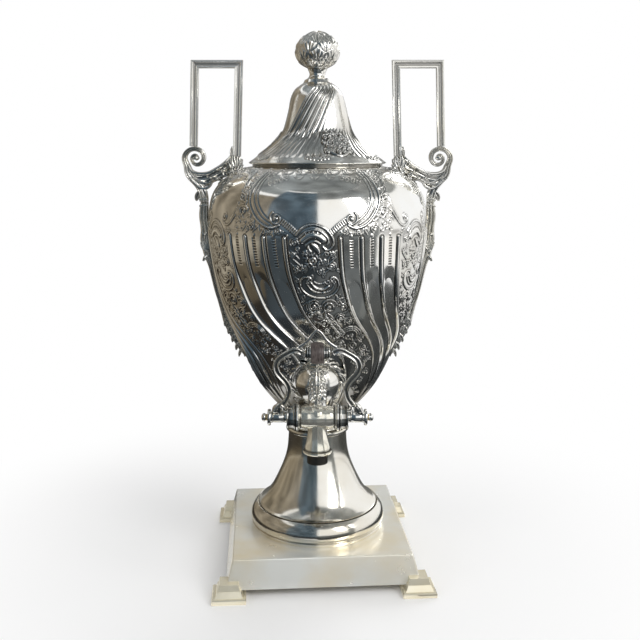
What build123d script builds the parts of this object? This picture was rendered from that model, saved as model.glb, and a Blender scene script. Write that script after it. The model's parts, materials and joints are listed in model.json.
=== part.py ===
"""Tea urn: a footed square plinth, a trumpet pedestal, a vase body with two
square loop handles, a double-lever tap and a bell lid with a ball finial.

Millimetres.  The urn's axis is Z, the floor is Z = 0, and the tap faces -Y.
"""
import os
from math import cos, pi, radians, sin, tan

from build123d import *

# Stack of heights, from the floor up
plinth_under = 7.0
plinth_height = 24.3
ring_height = 20.0
trumpet_height = 68.7
trumpet_cap = 4.0
collar_height = 9.0
body_height = 229.5
mouth_stand = 1.7
lid_seat_gap = 0.1
lid_height = 71.2
finial_base_height = 11.3
finial_height = 33.4

# Plinth and feet
base_turn = 4.0
plinth_side = 155.4
plinth_batter = 14.5
plinth_wall = 1.6
plinth_edge_round = 1.4
foot_side = 29.0
foot_overhang = 11.4
foot_slab = 4.2
foot_cove = 5.0
foot_upstand = 5.0
foot_step = 2.6
foot_taper = 24.0
foot_slab_bevel = 0.9

# Base ring and pedestal
ring_radius = 62.2
ring_foot_radius = 61.3
ring_seat_radius = 56.2
ring_wall = 2.4
ring_widest_share = 0.39
ring_fillet_height = 3.0
ring_fillet_step = 1.0
trumpet_foot_radius = 54.7
trumpet_neck_radius = 26.6
trumpet_wall = 1.8
trumpet_cap_radius = 29.0
trumpet_cap_round = 1.6
trumpet_shares = ((0.72, 0.11), (0.40, 0.33), (0.17, 0.55), (0.065, 0.70), (0.02, 0.85))

# Body collar, tie rod and its fixings
collar_radius = 29.5
collar_waist = 24.4
tie_rod_radius = 3.0
tie_rod_bite = 5.0
tie_rod_tail = 3.0
base_washer_radius = 14.0
base_washer_thickness = 2.0
base_nut_radius = 6.6
base_nut_thickness = 5.0

# Body shell and mouth
body_radius = 97.4
body_foot_radius = 24.0
body_wall = 1.6
body_floor = 8.0
mouth_radius = 58.0
mouth_ring_wall = 4.4
mouth_ring_depth = 10.5
# Each pair is a share of the way from the foot's radius to the widest, and of body_height
belly_shares = (
    (0.240, 0.083), (0.460, 0.183), (0.609, 0.292), (0.756, 0.397), (0.865, 0.501),
    (0.940, 0.606), (0.989, 0.710), (1.000, 0.754),
)
# Each pair is a share of the way from the mouth's radius to the widest, and of body_height
shoulder_shares = ((0.970, 0.837), (0.842, 0.907), (0.562, 0.959), (0.333, 0.984), (0.177, 0.994))
cup_seam_share = 0.33
shoulder_seam_share = 0.907

# Swirl fluting of the body: a group of flutes between ribs on each side of the front panel and
# of the back panel.  Angles are in degrees, from the middle of a panel
ornament_turn = -1.9
panel_half_angle = 13.2
flute_pitch = 10.8
flute_count = 3
flute_depth = 1.5
rib_width = 2.2
rib_height = 0.9
# Each row is a share of body_height, the turn of the flutes there in degrees, a share of
# flute_depth and a share of rib_height
body_flute_shares = (
    (0.330, 28.8, 0.0, 0.25), (0.362, 24.6, 0.75, 0.9), (0.404, 17.6, 1.0, 1.0), (0.447, 11.6, 1.0, 1.0),
    (0.498, 7.1, 1.0, 1.0), (0.550, 4.0, 1.0, 1.0), (0.602, 1.9, 0.72, 1.0), (0.645, 0.6, 0.2, 1.0),
    (0.690, 0.0, 0.0, 1.0), (0.740, 0.0, 0.0, 1.0), (0.7625, 0.0, 0.0, 0.25),
)
least_flute_share = 0.03
# How closely a height is found along an outline, as a share of its length
search_share = 1e-9

# Lid
rim_overhang = 3.2
rim_thickness = 1.6
crown_radius = 12.0
lid_wall = 1.4
bezel_wall = 1.7
bezel_clearance = 0.8
bezel_depth = 9.0
# Each pair is a share of rim_radius and a share of lid_height
lid_shares = (
    (0.965, 0.043), (0.874, 0.101), (0.721, 0.199), (0.603, 0.299), (0.516, 0.397),
    (0.461, 0.529), (0.413, 0.694), (0.369, 0.840), (0.296, 0.937),
)

# Swirl flutes of the lid: each row is a share of lid_height, the turn of the flutes there in
# degrees and a share of lid_flute_depth
lid_flute_count = 14
lid_flute_depth = 0.9
lid_flute_shares = (
    (0.17, 4.0, 0.15), (0.25, 12.0, 0.8), (0.36, 23.0, 1.0), (0.50, 36.0, 1.0), (0.66, 49.0, 1.0),
    (0.80, 59.0, 0.8), (0.90, 65.0, 0.15),
)

# Finial
finial_base_radius = 12.4
finial_base_rim = 2.4
finial_waist = 7.1
finial_waist_share = 0.55
finial_seat_radius = 8.6
ball_radius = 20.2
# Each pair is a share of ball_radius and a share of finial_height
ball_shares = (
    (0.66, 0.085), (0.93, 0.26), (1.0, 0.48), (0.93, 0.66), (0.68, 0.84), (0.33, 0.965),
)
ball_widest_share = 0.48
ball_lobes = 12
ball_groove_ring = 19.6
ball_groove_radius = 1.2
stud_radius = 2.2
stud_bite = 10.0
stud_tail = 3.0
finial_nut_radius = 5.0
finial_nut_thickness = 4.0
finial_washer_radius = 8.0
finial_washer_thickness = 1.4

# Handles: square loop, scroll bracket and strap, drawn in the plane of X and Z
loop_rise = 85.1
loop_gap = 4.2
loop_stand = 3.3
loop_lean = 1.9
bar_width = 7.2
bar_depth = 5.4
bar_groove_width = 2.0
bar_groove_depth = 0.7
bar_foot_share = 0.12
bar_bite_share = 0.7
eye_stand = 10.7
eye_rise = 7.6
scroll_radius = 13.4
scroll_pitch = 6.95
scroll_band = 4.0
scroll_eye = 3.2
scroll_start_turns = -0.17
scroll_end_turns = 1.42
scroll_steps = 14
scroll_groove_width = 1.2
bracket_width = 9.2
leaf_width = 15.0
bracket_drop = 31.7
strap_stand = 0.5
strap_width = 9.0
strap_top_thickness = 7.1
strap_thickness = 8.6
strap_sink = 6.0
strap_boss_radius = 9.3
strap_boss_share = 0.70
# Strap outline: shares of body_height from the body's bottom, and of strap_thickness
strap_shares = (
    (0.790, 1.03), (0.735, 1.00), (0.715, 1.12), (0.690, 1.06), (0.655, 0.98), (0.625, 0.74),
    (0.600, 0.68), (0.490, 0.68), (0.410, 0.69), (0.385, 0.90), (0.345, 1.00), (0.305, 0.84),
    (0.275, 0.80), (0.250, 0.42), (0.236, 0.10),
)
# Bracket outline: shares of scroll_radius out and up from the scroll's eye; towards the urn
# one step is inward_step_share of the run from the eye to the loop's inner bar
inward_step_share = 0.3356
arm_top_shares = (
    (0.82, -0.42), (0.44, -0.70), (-0.15, -0.96), (-0.75, -0.90), (-1.35, -0.60),
    (-1.89, -0.25), (-2.30, 0.12),
)
arm_under_shares = ((1.06, -0.52), (0.76, -1.00), (0.42, -1.40), (0.10, -1.69), (-0.16, -2.12))
inner_under_shares = ((-0.84, -2.09), (-1.05, -1.75), (-1.24, -1.55), (-1.42, -1.90))
leaf_patch_shares = (
    (-0.95, -1.35), (-0.80, -1.05), (-1.35, -0.78), (-1.89, -0.42), (-2.36, 0.02), (-2.50, 0.30),
)
# Prong that clasps the loop's inner bar: shares of bar_width out and up from the bar's foot
prong_shares = ((1.34, 0.80), (1.0, 0.10))

# Tap: barrel across X, inclined neck, hanging spout
tap_root_share = 0.208
neck_slope = 25.0
barrel_radius = 10.1
barrel_half = 15.4
neck_radius = 7.5
tail_radius = 6.2
tail_length = 14.0
neck_length = 44.0
waterway = 4.0
spout_radius = 7.3
spout_lip_radius = 12.0
spout_lip_height = 3.2
spout_drop = 29.3
spout_waist_shares = ((1.0, 0.35), (1.05, 0.55), (1.18, 0.75))
nozzle_radius = 8.4
nozzle_bore = 5.6
nozzle_drop = 8.4
nozzle_spigot = 4.2
nozzle_spigot_radius = 7.0
dome_radius = 19.0
rose_radius = 24.6
rose_thickness = 1.8
rose_petals = 14
petal_ring_share = 0.8
leaf_thickness = 2.6
leaf_half_width = 9.6
leaf_shares = ((0.30, 0.0), (0.95, 0.25), (1.0, 0.45), (0.72, 0.60), (0.78, 0.75), (0.35, 0.92))
seal_radius = 12.0
seal_thickness = 3.0
back_nut_radius = 11.0
back_nut_thickness = 5.0

# Tap key: plug, spindle, sleeves and the yoke lever
plug_radius = 7.0
running_clearance = 0.05
plug_end_gap = 0.2
spindle_radius = 2.6
cap_flange_radius = 11.4
cap_flange_width = 3.6
cap_radius = 9.7
cap_width = 5.6
sleeve_gap = 0.4
sleeve_radius = 4.3
sleeve_length = 12.6
disc_radius = 6.6
disc_width = 2.8
disc_edge = 0.9
knob_radius = 3.3
knob_neck = 2.9
knob_stand = 4.8
arm_width = 4.8
arm_depth = 4.0
lever_height = 53.0
grip_half = 5.2
grip_radius = 9.0
grip_end_radius = 8.1
grip_rod_radius = 1.8
ferrule_width = 5.0
ferrule_radius = 6.1
ferrule_neck = 5.0
ferrule_step_shares = (0.40, 0.55)
foot_pad_length = 11.0
foot_pad_height = 3.6
foot_pad_depth_share = 0.8
pin_radius = 1.1
pin_bite = 1.4
crest_height = 20.0
crest_half = 15.6
crest_strip = 2.6
crest_depth = 3.2
# Each pair is a share of crest_half and a share of crest_height
crest_shares = ((1.0, 0.22), (0.78, 0.33), (0.42, 0.58), (0.12, 0.88))
# Each pair is a share of the lever's half span and a share of lever_height
lever_half_span = 33.2
arm_shares = (
    (0.918, 0.150), (0.735, 0.300), (0.705, 0.465), (0.860, 0.615), (1.000, 0.750),
    (0.950, 0.890), (0.750, 0.985), (0.500, 1.040),
)

# Heights that follow from the stack
plinth_top = plinth_under + plinth_height
ring_top = plinth_top + ring_height
trumpet_top = ring_top + trumpet_height
cap_top = trumpet_top + trumpet_cap
body_bottom = cap_top + collar_height
body_top = body_bottom + body_height
mouth_top = body_top + mouth_stand
rim_bottom = mouth_top + lid_seat_gap
lid_top = rim_bottom + lid_height
ball_bottom = lid_top + finial_base_height
eye_height = body_top + eye_rise
strap_top = body_top - bracket_drop
loop_top = eye_height + loop_rise
cup_seam = body_bottom + cup_seam_share * body_height
shoulder_seam = body_bottom + shoulder_seam_share * body_height

# Radii and reaches that follow from the body and its mouth
rim_radius = mouth_radius + rim_overhang
eye_reach = body_radius + eye_stand
strap_reach = body_radius + strap_stand
loop_outer = eye_reach + loop_stand
loop_inner = rim_radius + loop_gap

os.makedirs("parts", exist_ok=True)


def inset(points, wall):
    """Move each point of an outline sideways by the wall, to its left."""
    moved = []
    for i, (x, z) in enumerate(points):
        x0, z0 = points[max(i - 1, 0)]
        x1, z1 = points[min(i + 1, len(points) - 1)]
        run = ((x1 - x0) ** 2 + (z1 - z0) ** 2) ** 0.5
        moved.append((x - wall * (z1 - z0) / run, z + wall * (x1 - x0) / run))
    return moved


def turned_solid(points, close_points):
    """Revolve a smooth outline, closed by straight runs, about the urn's axis."""
    with BuildPart() as form:
        with BuildSketch(Plane.XZ):
            with BuildLine():
                Spline(*points)
                Polyline(points[-1], *close_points, points[0])
            make_face()
        revolve(axis=Axis.Z)
    return form.part


def finish(part, name):
    """Label one piece and write it."""
    part.label = name
    export_step(part, "parts/" + name + ".step")


# Outlines of the turned forms
trumpet_points = [(trumpet_foot_radius, ring_top)]
for r_share, z_share in trumpet_shares:
    r = trumpet_neck_radius + r_share * (trumpet_foot_radius - trumpet_neck_radius)
    trumpet_points.append((r, ring_top + z_share * trumpet_height))
trumpet_points.append((trumpet_neck_radius, trumpet_top))

body_points = [(body_foot_radius, body_bottom)]
for r_share, z_share in belly_shares:
    r = body_foot_radius + r_share * (body_radius - body_foot_radius)
    body_points.append((r, body_bottom + z_share * body_height))
for r_share, z_share in shoulder_shares:
    r = mouth_radius + r_share * (body_radius - mouth_radius)
    body_points.append((r, body_bottom + z_share * body_height))
body_points.append((mouth_radius, body_top))


def body_radius_at(height):
    """The body's outer radius at a height, read from its outline."""
    for (r0, z0), (r1, z1) in zip(body_points, body_points[1:]):
        if z0 <= height <= z1:
            return r0 + (r1 - r0) * (height - z0) / (z1 - z0)
    return mouth_radius


def smooth_outline(points):
    """The smooth curve through an outline's points, in the plane of X and Z."""
    with BuildLine(Plane.XZ) as outline:
        Spline(*points)
    return outline.edges()[0]


def radius_on(outline, height):
    """The radius of a smooth outline at a height, found by halving."""
    low, high = 0.0, 1.0
    while high - low > search_share:
        middle = (low + high) / 2
        if (outline @ middle).Z < height:
            low = middle
        else:
            high = middle
    return (outline @ low).X


def in_plan(radius, angle):
    """A place in plan, with its angle in degrees from the front towards +X."""
    return (radius * sin(radians(angle)), -radius * cos(radians(angle)))


def scalloped_form(sections):
    """Loft through closed outlines, each a height, a radius and spans of start, end, bow and kind."""
    with BuildPart() as form:
        for height, radius, spans in sections:
            with BuildSketch(Plane.XY.offset(height)):
                with BuildLine():
                    for start, end, bow, pointed in spans:
                        crest = in_plan(radius + bow, (start + end) / 2)
                        if pointed:
                            Line(in_plan(radius, start), crest)
                            Line(crest, in_plan(radius, end))
                        else:
                            ThreePointArc(in_plan(radius, start), crest, in_plan(radius, end))
                make_face()
        loft()
    return form.part


def sawn_off(form, height, keep):
    """What lies under or over a height."""
    with BuildPart() as piece:
        add(form)
        split(bisect_by=Plane.XY.offset(height), keep=keep)
    return piece.part


def even_spans(count, turn, bow):
    """Equal arcs all the way round."""
    pitch = 360 / count
    return [(turn + k * pitch, turn + (k + 1) * pitch, bow, False) for k in range(count)]


def body_spans(radius, turn, flute_bow, rib_bow):
    """Spans round the body: pointed ribs, flutes between them and plain panels."""
    group = [k * flute_pitch for k in range(flute_count + 1)]
    last = panel_half_angle + group[-1]
    starts = []
    for middle in (0, 180):
        starts += [middle + panel_half_angle + step for step in group]
        starts += [middle + 180 - last + step for step in group]
    half = rib_width / radius * 90 / pi if rib_bow else 0
    spans = []
    for k, start in enumerate(starts):
        after = starts[k + 1] if k + 1 < len(starts) else starts[0] + 360
        here = start + turn + ornament_turn
        there = after + turn + ornament_turn
        if rib_bow:
            spans.append((here - half, here + half, rib_bow, True))
        bow = -flute_bow if after - start < 2 * flute_pitch else 0
        spans.append((here + half, there - half, bow, False))
    return spans


lid_points = [(rim_radius, rim_bottom + rim_thickness)]
for r_share, z_share in lid_shares:
    lid_points.append((r_share * rim_radius, rim_bottom + z_share * lid_height))
lid_points.append((crown_radius, lid_top))

# Solid forms that the shells and their neighbours are cut with
body_form = turned_solid(body_points, [(0, body_top), (0, body_bottom)])
cavity_floor = body_bottom + body_floor
cavity_points = inset(body_points, body_wall)[1:-1]
cavity_points.insert(0, (body_radius_at(cavity_floor) - 2 * body_wall, cavity_floor))
cavity_points.append((mouth_radius, body_top - body_wall))
cavity_form = turned_solid(cavity_points, [(0, body_top - body_wall), (0, cavity_floor)])
lid_inner_points = inset(lid_points, lid_wall)[1:-1]
lid_inner_points.insert(0, (rim_radius - 2 * lid_wall, rim_bottom))
crown_under = lid_inner_points[-1][1]
lid_hollow_form = turned_solid(lid_inner_points, [(0, crown_under), (0, rim_bottom)])

# Plinth: a battered pressed plate, open underneath
batter_run = plinth_height * tan(radians(plinth_batter))
with BuildPart() as plinth_form:
    with BuildSketch(Plane.XY.offset(plinth_under)):
        Rectangle(plinth_side + 2 * batter_run, plinth_side + 2 * batter_run, rotation=base_turn)
    with BuildSketch(Plane.XY.offset(plinth_top)):
        Rectangle(plinth_side, plinth_side, rotation=base_turn)
    loft()
    corner_edges = plinth_form.edges().filter_by(lambda e: abs(e.tangent_at(0).Z) > 0.5)
    fillet(corner_edges, radius=plinth_edge_round)
    fillet(plinth_form.faces().sort_by(Axis.Z)[-1].edges(), radius=plinth_edge_round)

hollow_side = plinth_side - 2 * plinth_wall
with BuildPart() as plinth_hollow:
    with BuildSketch(Plane.XY.offset(plinth_under)):
        Rectangle(hollow_side + 2 * batter_run, hollow_side + 2 * batter_run, rotation=base_turn)
    with BuildSketch(Plane.XY.offset(plinth_top - plinth_wall)):
        Rectangle(hollow_side, hollow_side, rotation=base_turn)
    loft()

with BuildPart() as plinth:
    add(plinth_form.part)
    add(plinth_hollow.part, mode=Mode.SUBTRACT)
    with BuildSketch(Plane.XY.offset(plinth_top)):
        Circle(tie_rod_radius)
    extrude(amount=-2 * plinth_wall, mode=Mode.SUBTRACT)
finish(plinth.part, "plinth")

# Feet: stepped castings that wrap the plinth's corners
foot_outer = plinth_side / 2 + batter_run + foot_overhang
corner_turns = {"back_right": 0, "back_left": 90, "front_left": 180, "front_right": 270}
for corner, turn in corner_turns.items():
    corner_plane = Plane.XY.rotated((0, 0, base_turn + turn))
    with BuildPart() as foot:
        centre = foot_outer - foot_side / 2
        with BuildSketch(corner_plane):
            with Locations((centre, centre)):
                Rectangle(foot_side, foot_side)
        extrude(amount=foot_slab)
        chamfer(foot.faces().sort_by(Axis.Z)[-1].edges(), length=foot_slab_bevel)
        cove_side = foot_side - 2 * foot_step
        with BuildSketch(corner_plane.offset(foot_slab)):
            with Locations((centre, centre)):
                Rectangle(cove_side, cove_side)
        extrude(amount=foot_cove, taper=foot_taper)
        upper_side = cove_side - 2 * foot_step
        with BuildSketch(corner_plane.offset(foot_slab + foot_cove)):
            with Locations((centre, centre)):
                Rectangle(upper_side, upper_side)
        extrude(amount=foot_upstand, taper=plinth_batter)
        add(plinth_form.part, mode=Mode.SUBTRACT)
    finish(foot.part, "foot_" + corner)

# Base ring: an ovolo with a small fillet under it
ring_widest = plinth_top + ring_widest_share * ring_height
ring_fillet_top = plinth_top + ring_fillet_height
with BuildPart() as base_ring:
    with BuildSketch(Plane.XZ):
        with BuildLine():
            Line((ring_foot_radius - ring_wall, plinth_top), (ring_foot_radius, plinth_top))
            Line((ring_foot_radius, plinth_top), (ring_foot_radius, ring_fillet_top))
            Line((ring_foot_radius, ring_fillet_top), (ring_foot_radius - ring_fillet_step, ring_fillet_top))
            Spline(
                (ring_foot_radius - ring_fillet_step, ring_fillet_top),
                (ring_radius, ring_widest),
                (ring_seat_radius, ring_top),
                tangents=((1, 1), (-1, 0.25)),
            )
            Line((ring_seat_radius, ring_top), (trumpet_foot_radius - 2 * trumpet_wall, ring_top))
            Line(
                (trumpet_foot_radius - 2 * trumpet_wall, ring_top),
                (trumpet_foot_radius - 2 * trumpet_wall, ring_top - ring_wall),
            )
            Spline(
                (trumpet_foot_radius - 2 * trumpet_wall, ring_top - ring_wall),
                (ring_radius - ring_wall, ring_widest),
                (ring_foot_radius - ring_wall, plinth_top),
                tangents=((1, 0), (0, -1)),
            )
        make_face()
    revolve(axis=Axis.Z)
finish(base_ring.part, "base_ring")

# Pedestal: a hollow trumpet with a cushion on top
hollow_points = inset(trumpet_points, trumpet_wall)
hollow_points[0] = (trumpet_foot_radius - trumpet_wall, ring_top)
hollow_points[-1] = (trumpet_neck_radius - trumpet_wall, trumpet_top)
trumpet_form = turned_solid(trumpet_points, [(0, trumpet_top), (0, ring_top)])
trumpet_hollow = turned_solid(hollow_points, [(0, trumpet_top), (0, ring_top)])
with BuildPart() as pedestal:
    with BuildSketch(Plane.XY.offset(trumpet_top)):
        Circle(trumpet_cap_radius)
    extrude(amount=trumpet_cap)
    fillet(pedestal.edges().filter_by(GeomType.CIRCLE), radius=trumpet_cap_round)
    add(trumpet_form)
    add(trumpet_hollow, mode=Mode.SUBTRACT)
    with BuildSketch(Plane.XY.offset(trumpet_top)):
        Circle(tie_rod_radius)
    extrude(amount=trumpet_cap, mode=Mode.SUBTRACT)
finish(pedestal.part, "pedestal")

# Collar between pedestal and body
with BuildPart() as body_collar:
    with BuildSketch(Plane.XZ):
        with BuildLine():
            Polyline((collar_waist, cap_top), (tie_rod_radius, cap_top), (tie_rod_radius, body_bottom),
                     (collar_waist, body_bottom))
            ThreePointArc(
                (collar_waist, cap_top),
                (collar_radius, (cap_top + body_bottom) / 2),
                (collar_waist, body_bottom),
            )
        make_face()
    revolve(axis=Axis.Z)
finish(body_collar.part, "body_collar")

# Tie rod with its washer and nut under the plinth's plate
plate_under = plinth_top - plinth_wall
washer_under = plate_under - base_washer_thickness
nut_under = washer_under - base_nut_thickness
with BuildPart() as tie_rod:
    with BuildSketch(Plane.XY.offset(nut_under - tie_rod_tail)):
        Circle(tie_rod_radius)
    extrude(amount=body_bottom + tie_rod_bite - nut_under + tie_rod_tail)
finish(tie_rod.part, "tie_rod")

with BuildPart() as base_washer:
    with BuildSketch(Plane.XY.offset(washer_under)):
        Circle(base_washer_radius)
        Circle(tie_rod_radius, mode=Mode.SUBTRACT)
    extrude(amount=base_washer_thickness)
finish(base_washer.part, "base_washer")

with BuildPart() as base_nut:
    with BuildSketch(Plane.XY.offset(nut_under)):
        RegularPolygon(base_nut_radius, 6)
        Circle(tie_rod_radius, mode=Mode.SUBTRACT)
    extrude(amount=base_nut_thickness)
finish(base_nut.part, "base_nut")


# The tap hangs from the place where its neck enters the body
tap_root_height = body_bottom + tap_root_share * body_height
tap_y = -body_radius_at(tap_root_height) - neck_length * cos(radians(neck_slope))
tap_height = tap_root_height - neck_length * sin(radians(neck_slope))

# Planes of the tap: across the barrel, down the spout, and along the neck
neck_dir = (0, cos(radians(neck_slope)), sin(radians(neck_slope)))
neck_plane = Plane(origin=(0, tap_y, tap_height), x_dir=(1, 0, 0), z_dir=neck_dir)
spout_plane = Plane(origin=(0, tap_y, tap_height), x_dir=(1, 0, 0), z_dir=(0, -1, 0))
spout_axis = Axis((0, tap_y, tap_height), (0, 0, 1))
barrel_axis = Axis((0, tap_y, tap_height), (1, 0, 0))


def barrel_plane(x):
    """A plane square to the barrel at the distance x, facing +X."""
    return Plane(origin=(x, tap_y, tap_height), x_dir=(0, 1, 0), z_dir=(1, 0, 0))


def outward_plane(side, x):
    """A plane square to the barrel that faces away from the middle on one side."""
    return Plane(origin=(side * x, tap_y, tap_height), x_dir=(0, 1, 0), z_dir=(side, 0, 0))


# Body in three spun rings, soldered at two seams: cup, shell and shoulder
with BuildPart() as vase:
    add(body_form)
    add(cavity_form, mode=Mode.SUBTRACT)

# Cup: the closed lower end, with a hole for the tap's tail and one for the tie rod
with BuildPart() as body_cup:
    add(vase.part)
    split(bisect_by=Plane.XY.offset(cup_seam), keep=Keep.BOTTOM)
    with BuildSketch(Plane.XY.offset(body_bottom)):
        Circle(tie_rod_radius)
    extrude(amount=tie_rod_bite, mode=Mode.SUBTRACT)
    with BuildSketch(neck_plane):
        Circle(tail_radius)
    extrude(amount=neck_length + tail_length, mode=Mode.SUBTRACT)
finish(body_cup.part, "body_cup")

# Shell: the belly between the two seams, pressed with swirl flutes inside and out
body_line = smooth_outline(body_points)
cavity_line = smooth_outline(cavity_points)
outer_sections = []
inner_sections = []
for height_share, turn, flute_share, rib_share in body_flute_shares:
    height = body_bottom + height_share * body_height
    radius = radius_on(body_line, height)
    spans = body_spans(radius, turn, flute_share * flute_depth, rib_share * rib_height)
    outer_sections.append((height, radius, spans))
    radius = radius_on(cavity_line, height)
    flute_bow = max(flute_share, least_flute_share) * flute_depth
    inner_sections.append((height, radius, body_spans(radius, turn, flute_bow, 0)))
flutes_top = outer_sections[-1][0]
fluted_outer = scalloped_form(outer_sections)
fluted_inner = scalloped_form(inner_sections)
body_outside = [
    sawn_off(body_form, cup_seam, Keep.BOTTOM), fluted_outer, sawn_off(body_form, flutes_top, Keep.TOP),
]
with BuildPart() as body_shell:
    add(vase.part)
    split(bisect_by=Plane.XY.offset(flutes_top), keep=Keep.TOP)
    split(bisect_by=Plane.XY.offset(shoulder_seam), keep=Keep.BOTTOM)
    add(fluted_outer)
    add(fluted_inner, mode=Mode.SUBTRACT)
finish(body_shell.part, "body_shell")

# Shoulder: the top of the body, open at the mouth
with BuildPart() as body_shoulder:
    add(vase.part)
    split(bisect_by=Plane.XY.offset(shoulder_seam), keep=Keep.TOP)
    with BuildSketch(Plane.XY.offset(body_top - 2 * body_wall)):
        Circle(mouth_radius)
    extrude(amount=2 * body_wall, mode=Mode.SUBTRACT)
finish(body_shoulder.part, "body_shoulder")

# Mouth ring that the lid sits in
ring_inner = mouth_radius - mouth_ring_wall
with BuildPart() as mouth_ring:
    with BuildSketch(Plane.XY.offset(mouth_top - mouth_ring_depth)):
        Circle(mouth_radius)
        Circle(ring_inner, mode=Mode.SUBTRACT)
    extrude(amount=mouth_ring_depth)
    chamfer(mouth_ring.edges().sort_by(Axis.Z)[-1], length=body_wall / 2)
finish(mouth_ring.part, "mouth_ring")


def scroll_point(turns):
    """A point on the middle line of the scroll's band, after so many turns."""
    radius = scroll_radius - scroll_band / 2 - turns * scroll_pitch
    angle = 2 * pi * turns
    return (eye_reach + radius * cos(angle), eye_height + radius * sin(angle))


def lean_x(x_at_top, z):
    """A loop bar's place at the height z, with the loop's lean."""
    return x_at_top + (loop_top - z) * tan(radians(loop_lean))


def from_eye(shares):
    """Places out and up from the scroll's eye."""
    inward_step = inward_step_share * (eye_reach - bar_inner_foot)
    places = []
    for u, v in shares:
        step = scroll_radius if u > 0 else inward_step
        places.append((eye_reach + u * step, eye_height + v * scroll_radius))
    return places


side_planes = {
    "right": Plane.XZ,
    "left": Plane(origin=(0, 0, 0), x_dir=(-1, 0, 0), z_dir=(0, 1, 0)),
}
bar_foot = eye_height + bar_foot_share * scroll_radius
bar_inner_foot = lean_x(loop_inner, bar_foot)
bar_inner_end = bar_foot - bar_width / 4
bar_outer_end = eye_height + scroll_radius - scroll_pitch / 4 - bar_bite_share * scroll_band
bracket_toe = bar_inner_foot - strap_sink / 2
prong = [(bar_inner_foot + u * bar_width, bar_foot + v * bar_width) for u, v in prong_shares]
body_side = body_radius_at(strap_top) - strap_sink
for side, plane in side_planes.items():
    with BuildPart() as bracket:
        arm_top = from_eye(arm_top_shares)
        arm_under = from_eye(arm_under_shares)
        inner_under = from_eye(inner_under_shares)
        strap_outer = strap_reach + strap_top_thickness
        with BuildSketch(plane):
            with BuildLine():
                Spline(*arm_top)
                Polyline(
                    arm_top[-1],
                    *prong,
                    (bar_inner_foot, bar_foot),
                    (bracket_toe, body_top - body_wall),
                    (bracket_toe, body_top - strap_sink),
                    (inner_under[-1][0] - strap_sink, inner_under[-1][1] - strap_sink / 2),
                    inner_under[-1],
                )
                Spline(*inner_under[::-1])
                Polyline(inner_under[0], (strap_reach, strap_top), (strap_outer, strap_top), arm_under[-1])
                Spline(*arm_under[::-1])
                Line(arm_under[0], arm_top[0])
            make_face()
        extrude(amount=bracket_width / 2, both=True)
        leaf_patch = from_eye(leaf_patch_shares)
        with BuildSketch(plane):
            with BuildLine():
                Spline(*leaf_patch)
                Polyline(
                    leaf_patch[-1],
                    (bar_inner_foot, bar_foot),
                    (bracket_toe, body_top - body_wall),
                    (bracket_toe, body_top - strap_sink),
                    (leaf_patch[0][0] - strap_sink, leaf_patch[0][1] - strap_sink),
                    leaf_patch[0],
                )
            make_face()
        extrude(amount=leaf_width / 2, both=True)
        with BuildSketch(plane):
            span = scroll_end_turns - scroll_start_turns
            turns = [scroll_start_turns + span * i / scroll_steps for i in range(scroll_steps + 1)]
            with BuildLine():
                Spline(*[scroll_point(t) for t in turns])
            trace(line_width=scroll_band)
            with Locations((eye_reach, eye_height)):
                Circle(scroll_eye)
        extrude(amount=bracket_width / 2, both=True)
        for face in (-1, 1):
            with BuildSketch(plane.offset(face * (bracket_width / 2 - bar_groove_depth))):
                with BuildLine():
                    Spline(*[scroll_point(t) for t in turns])
                trace(line_width=scroll_groove_width)
            extrude(amount=face * bar_groove_depth, mode=Mode.SUBTRACT)
        add(body_form, mode=Mode.SUBTRACT)
    finish(bracket.part, "handle_bracket_" + side)

    with BuildPart() as loop:
        with BuildSketch(plane):
            with BuildLine():
                Polyline(
                    (lean_x(loop_outer, bar_outer_end), bar_outer_end),
                    (loop_outer, loop_top),
                    (loop_inner, loop_top),
                    (lean_x(loop_inner, bar_inner_end), bar_inner_end),
                    (lean_x(loop_inner, bar_inner_end) + bar_width, bar_inner_end),
                    (lean_x(loop_inner, loop_top - bar_width) + bar_width, loop_top - bar_width),
                    (lean_x(loop_outer, loop_top - bar_width) - bar_width, loop_top - bar_width),
                    (lean_x(loop_outer, bar_outer_end) - bar_width, bar_outer_end),
                    close=True,
                )
            make_face()
        extrude(amount=bar_depth / 2, both=True)
        top_middle = loop_top - bar_width / 2
        groove_line = [
            (lean_x(loop_outer, bar_outer_end) - bar_width / 2, bar_outer_end),
            (lean_x(loop_outer, top_middle) - bar_width / 2, top_middle),
            (lean_x(loop_inner, top_middle) + bar_width / 2, top_middle),
            (lean_x(loop_inner, bar_inner_end) + bar_width / 2, bar_inner_end),
        ]
        for face in (-1, 1):
            with BuildSketch(plane.offset(face * (bar_depth / 2 - bar_groove_depth))):
                with BuildLine():
                    Polyline(*groove_line)
                trace(line_width=bar_groove_width)
            extrude(amount=face * bar_groove_depth, mode=Mode.SUBTRACT)
        add(bracket.part, mode=Mode.SUBTRACT)
    finish(loop.part, "handle_loop_" + side)

    with BuildPart() as strap:
        outer_line = [(strap_reach + strap_top_thickness, strap_top)]
        for z_share, t_share in strap_shares:
            z = body_bottom + z_share * body_height
            outer_line.append((body_radius_at(z) + t_share * strap_thickness, z))
        low_r, low_z = outer_line[-1]
        with BuildSketch(plane):
            with BuildLine():
                Spline(*outer_line)
                Polyline(
                    outer_line[-1],
                    (low_r - strap_sink, low_z),
                    (body_side - strap_sink, body_bottom + strap_shares[0][0] * body_height),
                    (strap_reach, body_bottom + strap_shares[0][0] * body_height),
                    (strap_reach, strap_top),
                    outer_line[0],
                )
            make_face()
        extrude(amount=strap_width / 2, both=True)
        boss_height = body_bottom + strap_boss_share * body_height
        with Locations(plane.location * Location((body_radius_at(boss_height), boss_height, 0))):
            Sphere(strap_boss_radius)
        for form in body_outside:
            add(form, mode=Mode.SUBTRACT)
    finish(strap.part, "handle_strap_" + side)

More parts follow.
